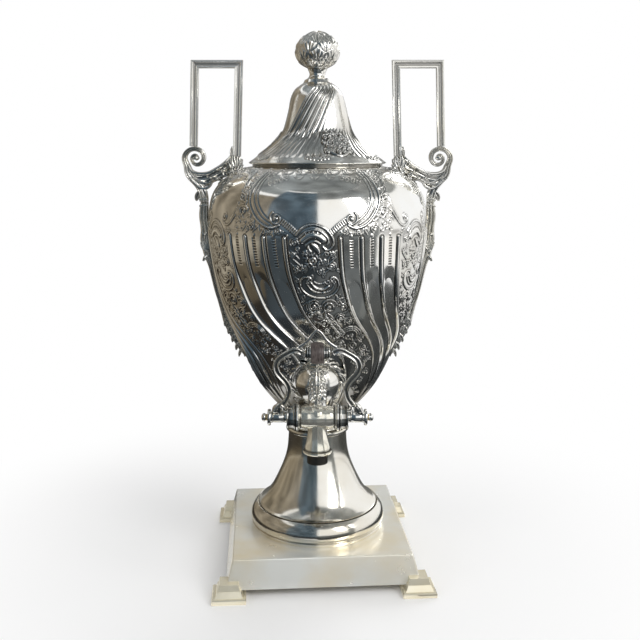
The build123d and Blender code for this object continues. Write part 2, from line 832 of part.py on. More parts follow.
# Escutcheon: a dome over the tap's root, on a rose that follows the body
rose_outline = inset(body_points, -rose_thickness)
rose_outline[0] = (body_foot_radius + rose_thickness, body_bottom)
rose_outline[-1] = (mouth_radius, body_top + rose_thickness)
rose_form = turned_solid(rose_outline, [(0, body_top + rose_thickness), (0, body_bottom)])
with BuildPart() as tap_escutcheon:
    with BuildSketch(neck_plane):
        Circle(petal_ring_share * rose_radius)
        with PolarLocations(petal_ring_share * rose_radius, rose_petals):
            Circle((1 - petal_ring_share) * rose_radius)
    extrude(amount=neck_length + tail_length)
    add(rose_form, mode=Mode.INTERSECT)
    with Locations(neck_plane.location * Location((0, 0, neck_length))):
        Sphere(dome_radius)
    add(body_form, mode=Mode.SUBTRACT)
    with BuildSketch(neck_plane):
        Circle(neck_radius)
    extrude(amount=neck_length + tail_length, mode=Mode.SUBTRACT)
finish(tap_escutcheon.part, "tap_escutcheon")

# Tap body: barrel, neck and spout in one casting, bored through
spout_bottom = -spout_drop
spout_points = [(spout_radius, 0)]
for r_share, z_share in spout_waist_shares:
    spout_points.append((r_share * spout_radius, z_share * spout_bottom))
spout_points.append((spout_lip_radius, spout_bottom + spout_lip_height))
with BuildPart() as tap_body:
    with BuildSketch(barrel_plane(-barrel_half)):
        Circle(barrel_radius)
    extrude(amount=2 * barrel_half)
    with BuildSketch(neck_plane):
        Circle(neck_radius)
    extrude(amount=neck_length + tail_length / 2)
    with BuildSketch(spout_plane):
        with BuildLine():
            Spline(*spout_points)
            Polyline(
                spout_points[-1],
                (spout_lip_radius, spout_bottom),
                (0, spout_bottom),
                (0, 0),
                spout_points[0],
            )
        make_face()
    revolve(axis=spout_axis)
    add(body_form, mode=Mode.SUBTRACT)
    with BuildSketch(neck_plane.offset(barrel_radius)):
        Circle(tail_radius)
    extrude(amount=neck_length + tail_length - barrel_radius)
    with BuildSketch(barrel_plane(-barrel_half)):
        Circle(plug_radius)
    extrude(amount=2 * barrel_half, mode=Mode.SUBTRACT)
    with BuildSketch(neck_plane):
        Circle(waterway)
    extrude(amount=neck_length + tail_length, mode=Mode.SUBTRACT)
    with BuildSketch(Plane(origin=(0, tap_y, tap_height), z_dir=(0, 0, -1))):
        Circle(waterway)
    extrude(amount=spout_drop, mode=Mode.SUBTRACT)
    with BuildSketch(Plane(origin=(0, tap_y, tap_height - spout_drop), z_dir=(0, 0, 1))):
        Circle(nozzle_spigot_radius)
    extrude(amount=nozzle_spigot, mode=Mode.SUBTRACT)
finish(tap_body.part, "tap_body")

# Nozzle that hangs from the spout's lip
with BuildPart() as spout_nozzle:
    nozzle_plane = Plane(origin=(0, tap_y, tap_height - spout_drop - nozzle_drop), z_dir=(0, 0, 1))
    with BuildSketch(nozzle_plane):
        Circle(nozzle_radius)
    extrude(amount=nozzle_drop)
    with BuildSketch(nozzle_plane.offset(nozzle_drop)):
        Circle(nozzle_spigot_radius)
    extrude(amount=nozzle_spigot)
    with BuildSketch(nozzle_plane):
        Circle(nozzle_bore)
    extrude(amount=nozzle_drop + nozzle_spigot, mode=Mode.SUBTRACT)
finish(spout_nozzle.part, "spout_nozzle")

# Leaf casting that lies on the neck between the dome and the barrel
leaf_start = barrel_radius
leaf_run = neck_length - dome_radius - barrel_radius + leaf_thickness
with BuildPart() as tap_leaf:
    with BuildSketch(neck_plane.offset(leaf_start)):
        Circle(neck_radius + leaf_thickness)
        Circle(neck_radius, mode=Mode.SUBTRACT)
    extrude(amount=leaf_run + leaf_thickness)
    leaf_top_plane = Plane(
        origin=neck_plane.from_local_coords((0, 0, leaf_start)),
        x_dir=(1, 0, 0),
        z_dir=(0, -sin(radians(neck_slope)), cos(radians(neck_slope))),
    )
    half = [(w * leaf_half_width, s * (leaf_run + leaf_thickness)) for w, s in leaf_shares]
    tip = (0, leaf_run + leaf_thickness)
    with BuildSketch(leaf_top_plane):
        with BuildLine():
            Spline(*half, tip)
            Spline(tip, *[(-x, y) for x, y in half[::-1]])
            Line((-half[0][0], half[0][1]), half[0])
        make_face()
    extrude(amount=neck_radius + 2 * leaf_thickness, mode=Mode.INTERSECT)
    with Locations(neck_plane.location * Location((0, 0, neck_length))):
        Sphere(dome_radius, mode=Mode.SUBTRACT)
    add(tap_body.part, mode=Mode.SUBTRACT)
finish(tap_leaf.part, "tap_leaf")

# Seal washer and back nut on the tap's tail, inside the body
seal_near = neck_length - back_nut_thickness
with BuildPart() as tap_seal:
    with BuildSketch(neck_plane.offset(seal_near)):
        Circle(seal_radius)
    extrude(amount=back_nut_thickness + seal_thickness)
    add(cavity_form, mode=Mode.INTERSECT)
    with BuildSketch(neck_plane):
        Circle(tail_radius)
    extrude(amount=neck_length + tail_length, mode=Mode.SUBTRACT)
finish(tap_seal.part, "tap_seal")

with BuildPart() as tap_back_nut:
    with BuildSketch(neck_plane.offset(neck_length + seal_thickness)):
        RegularPolygon(back_nut_radius, 6)
        Circle(tail_radius, mode=Mode.SUBTRACT)
    extrude(amount=back_nut_thickness)
finish(tap_back_nut.part, "tap_back_nut")

# End caps that close the barrel and carry the spindle
cap_start = barrel_half
cap_end = barrel_half + cap_flange_width + cap_width
side_names = {"left": -1, "right": 1}
for name, side in side_names.items():
    with BuildPart() as cap:
        with BuildSketch(outward_plane(side, cap_start)):
            Circle(cap_flange_radius)
        extrude(amount=cap_flange_width)
        with BuildSketch(outward_plane(side, cap_start + cap_flange_width)):
            Circle(cap_radius)
        extrude(amount=cap_width)
        with BuildSketch(outward_plane(side, cap_start)):
            Circle(spindle_radius + running_clearance)
        extrude(amount=cap_flange_width + cap_width, mode=Mode.SUBTRACT)
    finish(cap.part, "tap_cap_" + name)

# Plug and spindle, cross-bored so that it joins neck and spout when turned
sleeve_start = cap_end + sleeve_gap
disc_start = sleeve_start + sleeve_length
knob_start = disc_start + disc_width
knob_end = knob_start + knob_stand
spindle_end = knob_start + knob_stand / 2
with BuildPart() as tap_plug:
    with BuildSketch(barrel_plane(-barrel_half + plug_end_gap)):
        Circle(plug_radius - running_clearance)
    extrude(amount=2 * (barrel_half - plug_end_gap))
    with BuildSketch(barrel_plane(-spindle_end)):
        Circle(spindle_radius)
    extrude(amount=2 * spindle_end)
    with BuildSketch(Plane(origin=(0, tap_y, tap_height), z_dir=(0, 0, -1))):
        Circle(waterway)
    extrude(amount=plug_radius, mode=Mode.SUBTRACT)
    with BuildSketch(Plane(origin=(0, tap_y, tap_height), z_dir=(0, -1, 0))):
        Circle(waterway)
    extrude(amount=plug_radius, mode=Mode.SUBTRACT)
finish(tap_plug.part, "tap_plug")

# Sleeves, discs and end knobs on the spindle
for name, side in side_names.items():
    with BuildPart() as sleeve:
        with BuildSketch(outward_plane(side, sleeve_start)):
            Circle(sleeve_radius)
            Circle(spindle_radius, mode=Mode.SUBTRACT)
        extrude(amount=sleeve_length)
        with BuildSketch(Plane(origin=(side * (sleeve_start + sleeve_length / 2), tap_y, tap_height))):
            Circle(pin_radius)
        extrude(amount=sleeve_radius, mode=Mode.SUBTRACT)
    finish(sleeve.part, "key_sleeve_" + name)

    with BuildPart() as disc:
        with BuildSketch(spout_plane):
            with BuildLine():
                Polyline(
                    (side * knob_start, sleeve_radius),
                    (side * knob_start, spindle_radius),
                    (side * disc_start, spindle_radius),
                    (side * disc_start, sleeve_radius),
                    (side * (disc_start + (disc_width - disc_edge) / 2), disc_radius),
                    (side * (disc_start + (disc_width + disc_edge) / 2), disc_radius),
                    close=True,
                )
            make_face()
        revolve(axis=barrel_axis)
    finish(disc.part, "key_disc_" + name)

    with BuildPart() as knob:
        with BuildSketch(spout_plane):
            with BuildLine():
                Polyline(
                    (side * knob_start, knob_neck),
                    (side * knob_start, spindle_radius),
                    (side * spindle_end, spindle_radius),
                    (side * spindle_end, 0),
                    (side * knob_end, 0),
                )
                ThreePointArc(
                    (side * knob_end, 0),
                    (side * (knob_start + knob_end) / 2, knob_radius),
                    (side * knob_start, knob_neck),
                )
            make_face()
        revolve(axis=barrel_axis)
    finish(knob.part, "key_knob_" + name)

# Yoke arms: flat strips that rise from the sleeves and swing in to the grip
grip_height = tap_height + lever_height
pad_bottom = sleeve_radius / 2
lever_arms = []
for name, side in side_names.items():
    arm_line = [
        (side * u * lever_half_span, v * lever_height) for u, v in arm_shares
    ]
    arm_line.append((side * (grip_half + ferrule_width + arm_width / 2), lever_height))
    with BuildPart() as arm:
        with BuildSketch(spout_plane):
            with BuildLine():
                Spline(*arm_line)
            trace(line_width=arm_width)
        extrude(amount=arm_depth / 2, both=True)
        with BuildSketch(spout_plane):
            with Locations((side * (sleeve_start + sleeve_length / 2), sleeve_radius + foot_pad_height / 2)):
                Rectangle(foot_pad_length, foot_pad_height)
            with Locations((side * (sleeve_start + sleeve_length / 2), sleeve_radius)):
                Rectangle(foot_pad_length, pad_bottom)
        extrude(amount=foot_pad_depth_share * sleeve_radius, both=True)
        with BuildSketch(spout_plane):
            with Locations((side * (grip_half + ferrule_width + arm_width / 2), lever_height)):
                Rectangle(arm_width, 2 * ferrule_neck)
        extrude(amount=arm_depth / 2, both=True)
        with BuildSketch(outward_plane(side, 0)):
            Circle(sleeve_radius)
        extrude(amount=knob_start, mode=Mode.SUBTRACT)
        with BuildSketch(Plane(origin=(side * (sleeve_start + sleeve_length / 2), tap_y, tap_height))):
            Circle(pin_radius)
        extrude(amount=sleeve_radius + foot_pad_height / 2 + pin_bite, mode=Mode.SUBTRACT)
    finish(arm.part, "lever_arm_" + name)
    lever_arms.append(arm.part)

with BuildPart() as lever_pins:
    for side in side_names.values():
        pin_x = side * (sleeve_start + sleeve_length / 2)
        with BuildSketch(Plane(origin=(pin_x, tap_y, tap_height + spindle_radius))):
            Circle(pin_radius)
        extrude(amount=sleeve_radius + foot_pad_height / 2 + pin_bite - spindle_radius)
    add(tap_plug.part, mode=Mode.SUBTRACT)
finish(lever_pins.part, "lever_pins")

# Grip of dark horn on its rod, between two ferrules
grip_plane = Plane(origin=(0, tap_y, grip_height), x_dir=(1, 0, 0), z_dir=(0, -1, 0))
grip_axis = Axis((0, tap_y, grip_height), (1, 0, 0))
with BuildPart() as lever_grip:
    with BuildSketch(grip_plane):
        with BuildLine():
            ThreePointArc((-grip_half, grip_end_radius), (0, grip_radius), (grip_half, grip_end_radius))
            Polyline(
                (grip_half, grip_end_radius),
                (grip_half, grip_rod_radius),
                (-grip_half, grip_rod_radius),
                (-grip_half, grip_end_radius),
            )
        make_face()
    revolve(axis=grip_axis)
finish(lever_grip.part, "lever_grip")

ferrule_end = grip_half + ferrule_width
with BuildPart() as grip_rod:
    with BuildSketch(Plane(origin=(-ferrule_end, tap_y, grip_height), z_dir=(1, 0, 0))):
        Circle(grip_rod_radius)
    extrude(amount=2 * ferrule_end)
finish(grip_rod.part, "grip_rod")

for name, side in side_names.items():
    with BuildPart() as ferrule:
        with BuildSketch(grip_plane):
            with BuildLine():
                Polyline(
                    (side * grip_half, grip_rod_radius),
                    (side * grip_half, ferrule_radius),
                    (side * (grip_half + ferrule_step_shares[0] * ferrule_width), ferrule_radius),
                    (side * (grip_half + ferrule_step_shares[1] * ferrule_width), ferrule_neck),
                    (side * ferrule_end, ferrule_neck),
                    (side * ferrule_end, grip_rod_radius),
                    close=True,
                )
            make_face()
        revolve(axis=grip_axis)
    finish(ferrule.part, "grip_ferrule_" + name)

# Crest: two strips that rise from the arms to a point over the grip
with BuildPart() as lever_crest:
    for side in side_names.values():
        strip_line = [(side * u * crest_half, v * crest_height) for u, v in crest_shares]
        with BuildSketch(grip_plane):
            with BuildLine():
                Spline(*strip_line, (0, crest_height - crest_strip / 2))
            trace(line_width=crest_strip)
        extrude(amount=crest_depth / 2, both=True)
    for arm_part in lever_arms:
        add(arm_part, mode=Mode.SUBTRACT)
finish(lever_crest.part, "lever_crest")

# Lid shell: a bell with a thin rim and swirl flutes above it
lid_line = smooth_outline(lid_points)
lid_sections = []
for height_share, turn, flute_share in lid_flute_shares:
    height = rim_bottom + height_share * lid_height
    spans = even_spans(lid_flute_count, turn, -flute_share * lid_flute_depth)
    lid_sections.append((height, radius_on(lid_line, height), spans))
with BuildPart() as lid_form:
    with BuildSketch(Plane.XZ):
        with BuildLine():
            Spline(*lid_points)
            Polyline(
                lid_points[-1],
                (0, lid_top),
                (0, rim_bottom),
                (rim_radius, rim_bottom),
                lid_points[0],
            )
        make_face()
    revolve(axis=Axis.Z)
fluted_bell = scalloped_form(lid_sections)
lid_crown = sawn_off(lid_form.part, lid_sections[-1][0], Keep.TOP)
with BuildPart() as lid_shell:
    add(lid_form.part)
    split(bisect_by=Plane.XY.offset(lid_sections[0][0]), keep=Keep.BOTTOM)
    add(fluted_bell)
    add(lid_crown)
    add(lid_hollow_form, mode=Mode.SUBTRACT)
    with BuildSketch(Plane.XY.offset(crown_under)):
        Circle(stud_radius)
    extrude(amount=lid_top - crown_under, mode=Mode.SUBTRACT)
finish(lid_shell.part, "lid_shell")

# Lid bezel: a flat ring inside the rim and a tube that drops into the mouth
bezel_radius = ring_inner - bezel_clearance
with BuildPart() as lid_bezel:
    with BuildSketch(Plane.XY.offset(rim_bottom)):
        Circle(rim_radius)
    extrude(amount=bezel_wall)
    add(lid_hollow_form, mode=Mode.INTERSECT)
    with BuildSketch(Plane.XY.offset(rim_bottom - bezel_depth)):
        Circle(bezel_radius)
    extrude(amount=bezel_depth)
    with BuildSketch(Plane.XY.offset(rim_bottom - bezel_depth)):
        Circle(bezel_radius - bezel_wall)
    extrude(amount=bezel_depth + bezel_wall, mode=Mode.SUBTRACT)
finish(lid_bezel.part, "lid_bezel")

# Finial base, ball, stud, washer and nut
with BuildPart() as finial_base:
    with BuildSketch(Plane.XZ):
        with BuildLine():
            Polyline(
                (finial_seat_radius, ball_bottom),
                (stud_radius, ball_bottom),
                (stud_radius, lid_top),
                (finial_base_radius, lid_top),
                (finial_base_radius - finial_base_rim / 2, lid_top + finial_base_rim),
            )
            Spline(
                (finial_base_radius - finial_base_rim / 2, lid_top + finial_base_rim),
                (finial_waist, lid_top + finial_waist_share * finial_base_height),
                (finial_seat_radius, ball_bottom),
            )
        make_face()
    revolve(axis=Axis.Z)
finish(finial_base.part, "finial_base")

ball_points = [(finial_seat_radius, ball_bottom)]
for r_share, z_share in ball_shares:
    ball_points.append((r_share * ball_radius, ball_bottom + z_share * finial_height))
ball_points.append((0, ball_bottom + finial_height))
with BuildPart() as finial_ball:
    with BuildSketch(Plane.XZ):
        with BuildLine():
            Spline(*ball_points)
            Polyline(ball_points[-1], (0, ball_bottom), ball_points[0])
        make_face()
    revolve(axis=Axis.Z)
    with Locations((0, 0, ball_bottom + ball_widest_share * finial_height)):
        with PolarLocations(0, ball_lobes // 2, angular_range=180):
            Torus(ball_groove_ring, ball_groove_radius, rotation=(90, 0, 0), mode=Mode.SUBTRACT)
    with BuildSketch(Plane.XY.offset(ball_bottom)):
        Circle(stud_radius)
    extrude(amount=stud_bite, mode=Mode.SUBTRACT)
finish(finial_ball.part, "finial_ball")

finial_nut_top = crown_under - finial_washer_thickness
with BuildPart() as finial_stud:
    stud_bottom = finial_nut_top - finial_nut_thickness - stud_tail
    with BuildSketch(Plane.XY.offset(stud_bottom)):
        Circle(stud_radius)
    extrude(amount=ball_bottom + stud_bite - stud_bottom)
finish(finial_stud.part, "finial_stud")

with BuildPart() as finial_washer:
    with BuildSketch(Plane.XY.offset(finial_nut_top)):
        Circle(finial_washer_radius)
        Circle(stud_radius, mode=Mode.SUBTRACT)
    extrude(amount=finial_washer_thickness)
finish(finial_washer.part, "finial_washer")

with BuildPart() as finial_nut:
    with BuildSketch(Plane.XY.offset(finial_nut_top - finial_nut_thickness)):
        RegularPolygon(finial_nut_radius, 6)
        Circle(stud_radius, mode=Mode.SUBTRACT)
    extrude(amount=finial_nut_thickness)
finish(finial_nut.part, "finial_nut")
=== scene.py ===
"""Tea urn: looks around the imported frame.

Outlines and ornament are worked out in millimetres and turned into metres when a mesh is made.
Angles on the urn run from the front (-Y) towards the right (+X), in degrees.
"""
import json
import math

import bpy
import numpy as np
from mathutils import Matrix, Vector


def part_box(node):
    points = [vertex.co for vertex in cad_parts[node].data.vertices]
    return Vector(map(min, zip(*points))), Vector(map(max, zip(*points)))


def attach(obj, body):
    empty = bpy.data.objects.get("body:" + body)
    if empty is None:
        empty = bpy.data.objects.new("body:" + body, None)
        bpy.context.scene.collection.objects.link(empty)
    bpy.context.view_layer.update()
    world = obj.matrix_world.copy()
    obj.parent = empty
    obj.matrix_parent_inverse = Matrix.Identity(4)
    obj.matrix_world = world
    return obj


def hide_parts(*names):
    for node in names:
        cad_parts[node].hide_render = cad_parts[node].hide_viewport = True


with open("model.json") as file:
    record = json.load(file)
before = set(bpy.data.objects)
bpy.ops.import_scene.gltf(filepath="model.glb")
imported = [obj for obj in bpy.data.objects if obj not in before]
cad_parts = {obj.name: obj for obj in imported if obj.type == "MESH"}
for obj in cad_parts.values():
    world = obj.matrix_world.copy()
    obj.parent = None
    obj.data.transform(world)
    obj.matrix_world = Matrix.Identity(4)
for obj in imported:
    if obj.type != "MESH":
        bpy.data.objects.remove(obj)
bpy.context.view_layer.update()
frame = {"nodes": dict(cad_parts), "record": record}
MM = 0.001

# Camera of the photograph, in metres and degrees
CAMERA_PLACE = (0.0, -0.760934, 0.372143)
CAMERA_PITCH = 7.6627
CAMERA_LENS = 47.491
CAMERA_SHIFT = (0.00402, -0.08)

# The ornament is turned a little on the body, so its middle isn't quite at the front
ORNAMENT_TURN = -1.9


def low_high(node):
    """A node's corners at rest, in millimetres."""
    low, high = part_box(node)
    return np.array(low) / MM, np.array(high) / MM


def top_of(node):
    """The height of a node's top."""
    return low_high(node)[1][2]


# Sizes read from the frame
PLINTH_TOP, RING_TOP, PEDESTAL_TOP = top_of("plinth"), top_of("base_ring"), top_of("pedestal")
BODY_BOTTOM = low_high("body_cup")[0][2]
BODY_HEIGHT = top_of("body_shoulder") - BODY_BOTTOM
BODY_RADIUS = low_high("body_shell")[1][0]
BODY_FOOT_RADIUS = 24.0
MOUTH_RADIUS = low_high("mouth_ring")[1][0]
LID_BOTTOM, LID_TOP = low_high("lid_shell")[0][2], top_of("lid_shell")
LID_HEIGHT = LID_TOP - LID_BOTTOM
RIM_RADIUS = low_high("lid_shell")[1][0]
BALL_BOTTOM, BALL_TOP = low_high("finial_ball")[0][2], top_of("finial_ball")
BALL_RADIUS = low_high("finial_ball")[1][0]


# Curves and meshes

def natural_spline(points, count):
    """Points spread evenly along a smooth curve through the given points."""
    p = np.array(points, float)
    t = np.concatenate([[0], np.cumsum(np.linalg.norm(np.diff(p, axis=0), axis=1))])
    n = len(p)
    h = np.diff(t)
    m = np.zeros((n, n))
    rhs = np.zeros((n, p.shape[1]))
    m[0, 0] = m[-1, -1] = 1
    for i in range(1, n - 1):
        m[i, i - 1:i + 2] = h[i - 1], 2 * (h[i - 1] + h[i]), h[i]
        rhs[i] = 6 * ((p[i + 1] - p[i]) / h[i] - (p[i] - p[i - 1]) / h[i - 1])
    c = np.linalg.solve(m, rhs)
    fine = np.linspace(0, t[-1], 40 * n)
    k = np.clip(np.searchsorted(t, fine) - 1, 0, n - 2)
    a = (t[k + 1] - fine) / h[k]
    b = 1 - a
    hk = (h[k] ** 2 / 6)[:, None]
    a, b = a[:, None], b[:, None]
    curve = a * p[k] + b * p[k + 1] + ((a ** 3 - a) * c[k] + (b ** 3 - b) * c[k + 1]) * hk
    run = np.concatenate([[0], np.cumsum(np.linalg.norm(np.diff(curve, axis=0), axis=1))])
    even = np.linspace(0, run[-1], count)
    return np.stack([np.interp(even, run, curve[:, i]) for i in range(p.shape[1])], axis=1)


def smooth_step(value, low, high):
    """0 below low, 1 above high, smooth between."""
    t = np.clip((value - low) / (high - low), 0, 1)
    return t * t * (3 - 2 * t)


def bump(distance, half_width):
    """A rounded bead of height 1, as wide as twice half_width."""
    return np.clip(1 - (distance / half_width) ** 2, 0, None) ** 0.5


def new_piece(name, vertices, faces, body, material, replaces=()):
    """Make a mesh piece from points in millimetres, and say what it rides on and stands for."""
    mesh = bpy.data.meshes.new(name)
    mesh.from_pydata((np.asarray(vertices, float) * MM).tolist(), [], [list(f) for f in faces])
    mesh.validate()
    mesh.polygons.foreach_set("use_smooth", [True] * len(mesh.polygons))
    piece = bpy.data.objects.new(name, mesh)
    bpy.context.scene.collection.objects.link(piece)
    mesh.materials.append(material)
    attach(piece, body)
    if replaces:
        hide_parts(*replaces)
    return piece


def grid_faces(rows, columns, wrap=True, start=0):
    """Quads of a grid of points, wound so that they face outwards when the columns run round."""
    r, c = np.meshgrid(np.arange(rows - 1), np.arange(columns if wrap else columns - 1), indexing="ij")
    beside = r * columns + (c + 1) % columns
    quads = np.stack([r * columns + c, beside, beside + columns, (r + 1) * columns + c], axis=-1)
    return quads.reshape(-1, 4) + start


def tube_faces(rows, columns):
    """Quads of a tube of points, with both ends closed."""
    last = (rows - 1) * columns
    ends = [tuple(range(columns)), tuple(range(last + columns - 1, last - 1, -1))]
    return [tuple(f) for f in grid_faces(rows, columns)] + ends


def turned_points(outline, columns, relief=None):
    """Revolve an outline of (radius, height) rows; relief pushes each point out along its normal."""
    outline = np.asarray(outline, float)
    angles = np.linspace(0, 2 * math.pi, columns, endpoint=False)
    slope = np.gradient(outline, axis=0)
    length = np.linalg.norm(slope, axis=1, keepdims=True)
    slope = slope / np.where(length > 0, length, 1)
    push = np.zeros((len(outline), columns)) if relief is None else relief
    radius = outline[:, :1] + slope[:, 1:] * push
    height = outline[:, 1:] - slope[:, :1] * push
    return np.stack([radius * np.sin(angles), -radius * np.cos(angles), height], axis=-1).reshape(-1, 3)


def cavity_attribute(piece, values):
    """Store how dark each point is painted: tarnish with painted shade by how deep it lies in its ornament, plus
    painted dark reflections where the body and lid add them.
    """
    layer = piece.data.attributes.new("hollow", "FLOAT", "POINT")
    layer.data.foreach_set("value", np.asarray(values, np.float32).ravel())


SHARP_ANGLE = math.radians(38)


def lathe(name, outline, body, material, replaces=(), columns=120, place=(0, 0, 0), along="z",
          loop=False, dark=()):
    """A lathe-turned piece from (radius, distance) points, with tarnish and painted shade round the given distances.
    """
    outline = np.asarray(outline, float)
    angles = np.linspace(0, 2 * math.pi, columns, endpoint=False)
    radius, run = outline[:, :1], np.repeat(outline[:, 1:], columns, axis=1)
    if along == "z":
        points = np.stack([radius * np.sin(angles), -radius * np.cos(angles), run], axis=-1)
    else:
        points = np.stack([run, radius * np.sin(angles), radius * np.cos(angles)], axis=-1)
    faces = grid_faces(len(outline), columns).tolist()
    last = (len(outline) - 1) * columns
    if loop:
        faces += [(last + c, last + (c + 1) % columns, (c + 1) % columns, c) for c in range(columns)]
    else:
        faces += [tuple(range(columns - 1, -1, -1)), tuple(range(last, last + columns))]
    points = points.reshape(-1, 3) + np.array(place, float)
    piece = new_piece(name, points, faces, body, material, replaces)
    piece.data.set_sharp_from_angle(angle=SHARP_ANGLE)
    depth = np.zeros(len(outline))
    for distance, reach in dark:
        depth = np.maximum(depth, bump(outline[:, 1] - distance, reach))
    cavity_attribute(piece, np.repeat(depth, columns))


# Materials

def material_nodes(name):
    """A new material with its node tree, links and shader."""
    material = bpy.data.materials.new(name)
    material.use_nodes = True
    tree = material.node_tree
    return material, tree.nodes, tree.links, tree.nodes["Principled BSDF"]


def noise(nodes, links, scale, detail, vector):
    """A noise texture over a vector socket, scale in cells per metre."""
    texture = nodes.new("ShaderNodeTexNoise")
    texture.inputs["Scale"].default_value = scale
    texture.inputs["Detail"].default_value = detail
    links.new(vector, texture.inputs["Vector"])
    return texture.outputs["Fac"]


def ramp(nodes, links, value, stops):
    """A colour ramp over the given (place, colour) stops."""
    node = nodes.new("ShaderNodeValToRGB")
    elements = node.color_ramp.elements
    for element, (place, colour) in zip(elements, stops):
        element.position = place
        element.color = (*colour, 1)
    links.new(value, node.inputs["Fac"])
    return node.outputs["Color"]


def raised(nodes, links, shader, height, strength, distance):
    """Bump on a shader from a height socket."""
    relief = nodes.new("ShaderNodeBump")
    relief.inputs["Strength"].default_value = strength
    relief.inputs["Distance"].default_value = distance
    links.new(height, relief.inputs["Height"])
    links.new(relief.outputs["Normal"], shader.inputs["Normal"])


# Cells per metre and octaves of the stains, of the smears in the polish and of the surface's waver
STAIN_NOISE, SMEAR_NOISE, WAVER_NOISE = (22, 5), (60, 4), (45, 2)
STAIN_SPAN = (0.40, 0.72)


def silver(name, clean, stained, rough, waver, dark=(0.14, 0.13, 0.11), hollow=True, metal=1.0):
    """Plated metal: cloudy stains, a fine wavering surface and, through the hollow attribute, a dark colour: tarnish
    with painted shade in the hollows, and painted dark reflections where the body and lid mark them.
    """
    material, nodes, links, shader = material_nodes(name)
    place = nodes.new("ShaderNodeTexCoord").outputs["Object"]
    cloud = noise(nodes, links, *STAIN_NOISE, place)
    colour = ramp(nodes, links, cloud, zip(STAIN_SPAN, (clean, stained)))
    # The hollow attribute mixes the dark colour in: tarnish plus painted shade in recesses, and painted dark
    # reflection on marked flat parts
    if hollow:
        depth = nodes.new("ShaderNodeAttribute")
        depth.attribute_name = "hollow"
        mix = nodes.new("ShaderNodeMix")
        mix.data_type = "RGBA"
        mix.inputs["B"].default_value = (*dark, 1)
        links.new(colour, mix.inputs["A"])
        links.new(depth.outputs["Fac"], mix.inputs["Factor"])
        colour = mix.outputs["Result"]
    links.new(colour, shader.inputs["Base Color"])
    shader.inputs["Metallic"].default_value = metal
    spread = nodes.new("ShaderNodeMapRange")
    spread.inputs["To Min"].default_value, spread.inputs["To Max"].default_value = rough
    links.new(noise(nodes, links, *SMEAR_NOISE, place), spread.inputs["Value"])
    links.new(spread.outputs["Result"], shader.inputs["Roughness"])
    raised(nodes, links, shader, noise(nodes, links, *WAVER_NOISE, place), waver, 0.001)
    return material


CLEAN, STAINED = (0.93, 0.93, 0.91), (0.86, 0.83, 0.76)
SILVER = silver("silver_plate", CLEAN, STAINED, (0.06, 0.14), 0.10, hollow=False)
TURNED = silver("turned_silver", CLEAN, STAINED, (0.07, 0.15), 0.10)
CHASED = silver("chased_silver", CLEAN, STAINED, (0.08, 0.16), 0.10)
CAST = silver("cast_silver", (0.92, 0.91, 0.88), (0.82, 0.79, 0.70), (0.12, 0.24), 0.25)
CAST_PLAIN = silver("cast_silver_plain", (0.91, 0.90, 0.87), (0.80, 0.77, 0.68), (0.10, 0.22), 0.18,
                    (0.10, 0.09, 0.08))
# Partly painted highlight: the spout and barrel get a copy of the cast silver painted brighter, and warmer in tone
SPOUT = silver("spout_silver", (0.97, 0.95, 0.86), (0.88, 0.84, 0.70), (0.08, 0.18), 0.5, metal=0.88)
WARM_TURNED = silver("warm_turned_silver", (0.87, 0.85, 0.79), (0.74, 0.69, 0.58), (0.10, 0.20), 0.18)
LOOP_SILVER = silver("loop_silver", (0.95, 0.94, 0.91), (0.86, 0.84, 0.77), (0.10, 0.20), 0.12,
                     (0.12, 0.11, 0.10), metal=0.80)
# Painted shade: a dark copy of the silver for the mouth ring, in shadow under the lid's rim
SHADED = silver("shaded_silver", (0.34, 0.33, 0.30), (0.24, 0.22, 0.18), (0.15, 0.3), 0.2, hollow=False)
SATIN = silver("satin_plate", (0.96, 0.96, 0.91), (0.95, 0.85, 0.64), (0.18, 0.32), 0.14,
               hollow=False, metal=0.62)
FEET = silver("feet_plate", (0.98, 0.92, 0.74), (0.88, 0.79, 0.57), (0.16, 0.30), 0.25,
              hollow=False, metal=0.68)
BRASS = silver("bare_brass", (0.78, 0.62, 0.34), (0.55, 0.42, 0.22), (0.22, 0.40), 0.12, hollow=False)
BRONZE = silver("dark_bronze", (0.16, 0.15, 0.13), (0.07, 0.065, 0.06), (0.30, 0.5), 0.2, hollow=False)


def plain_surface(name, stops, scale, stretch, rough, bump_strength):
    """Horn or fibre: streaked colour with a fine grain."""
    material, nodes, links, shader = material_nodes(name)
    mapping = nodes.new("ShaderNodeMapping")
    mapping.inputs["Scale"].default_value = stretch
    links.new(nodes.new("ShaderNodeTexCoord").outputs["Object"], mapping.inputs["Vector"])
    streak = noise(nodes, links, scale, 6, mapping.outputs["Vector"])
    links.new(ramp(nodes, links, streak, stops), shader.inputs["Base Color"])
    shader.inputs["Roughness"].default_value = rough
    raised(nodes, links, shader, streak, bump_strength, 0.0005)
    return material


HORN = plain_surface("horn", [(0.35, (0.035, 0.027, 0.025)), (0.62, (0.115, 0.095, 0.088))],
                     300, (6, 1, 1), 0.34, 0.4)
FIBRE = plain_surface("red_fibre", [(0.4, (0.28, 0.13, 0.08)), (0.6, (0.40, 0.22, 0.14))],
                      400, (1, 1, 1), 0.7, 0.5)


# Relief: heights drawn over a grid of places

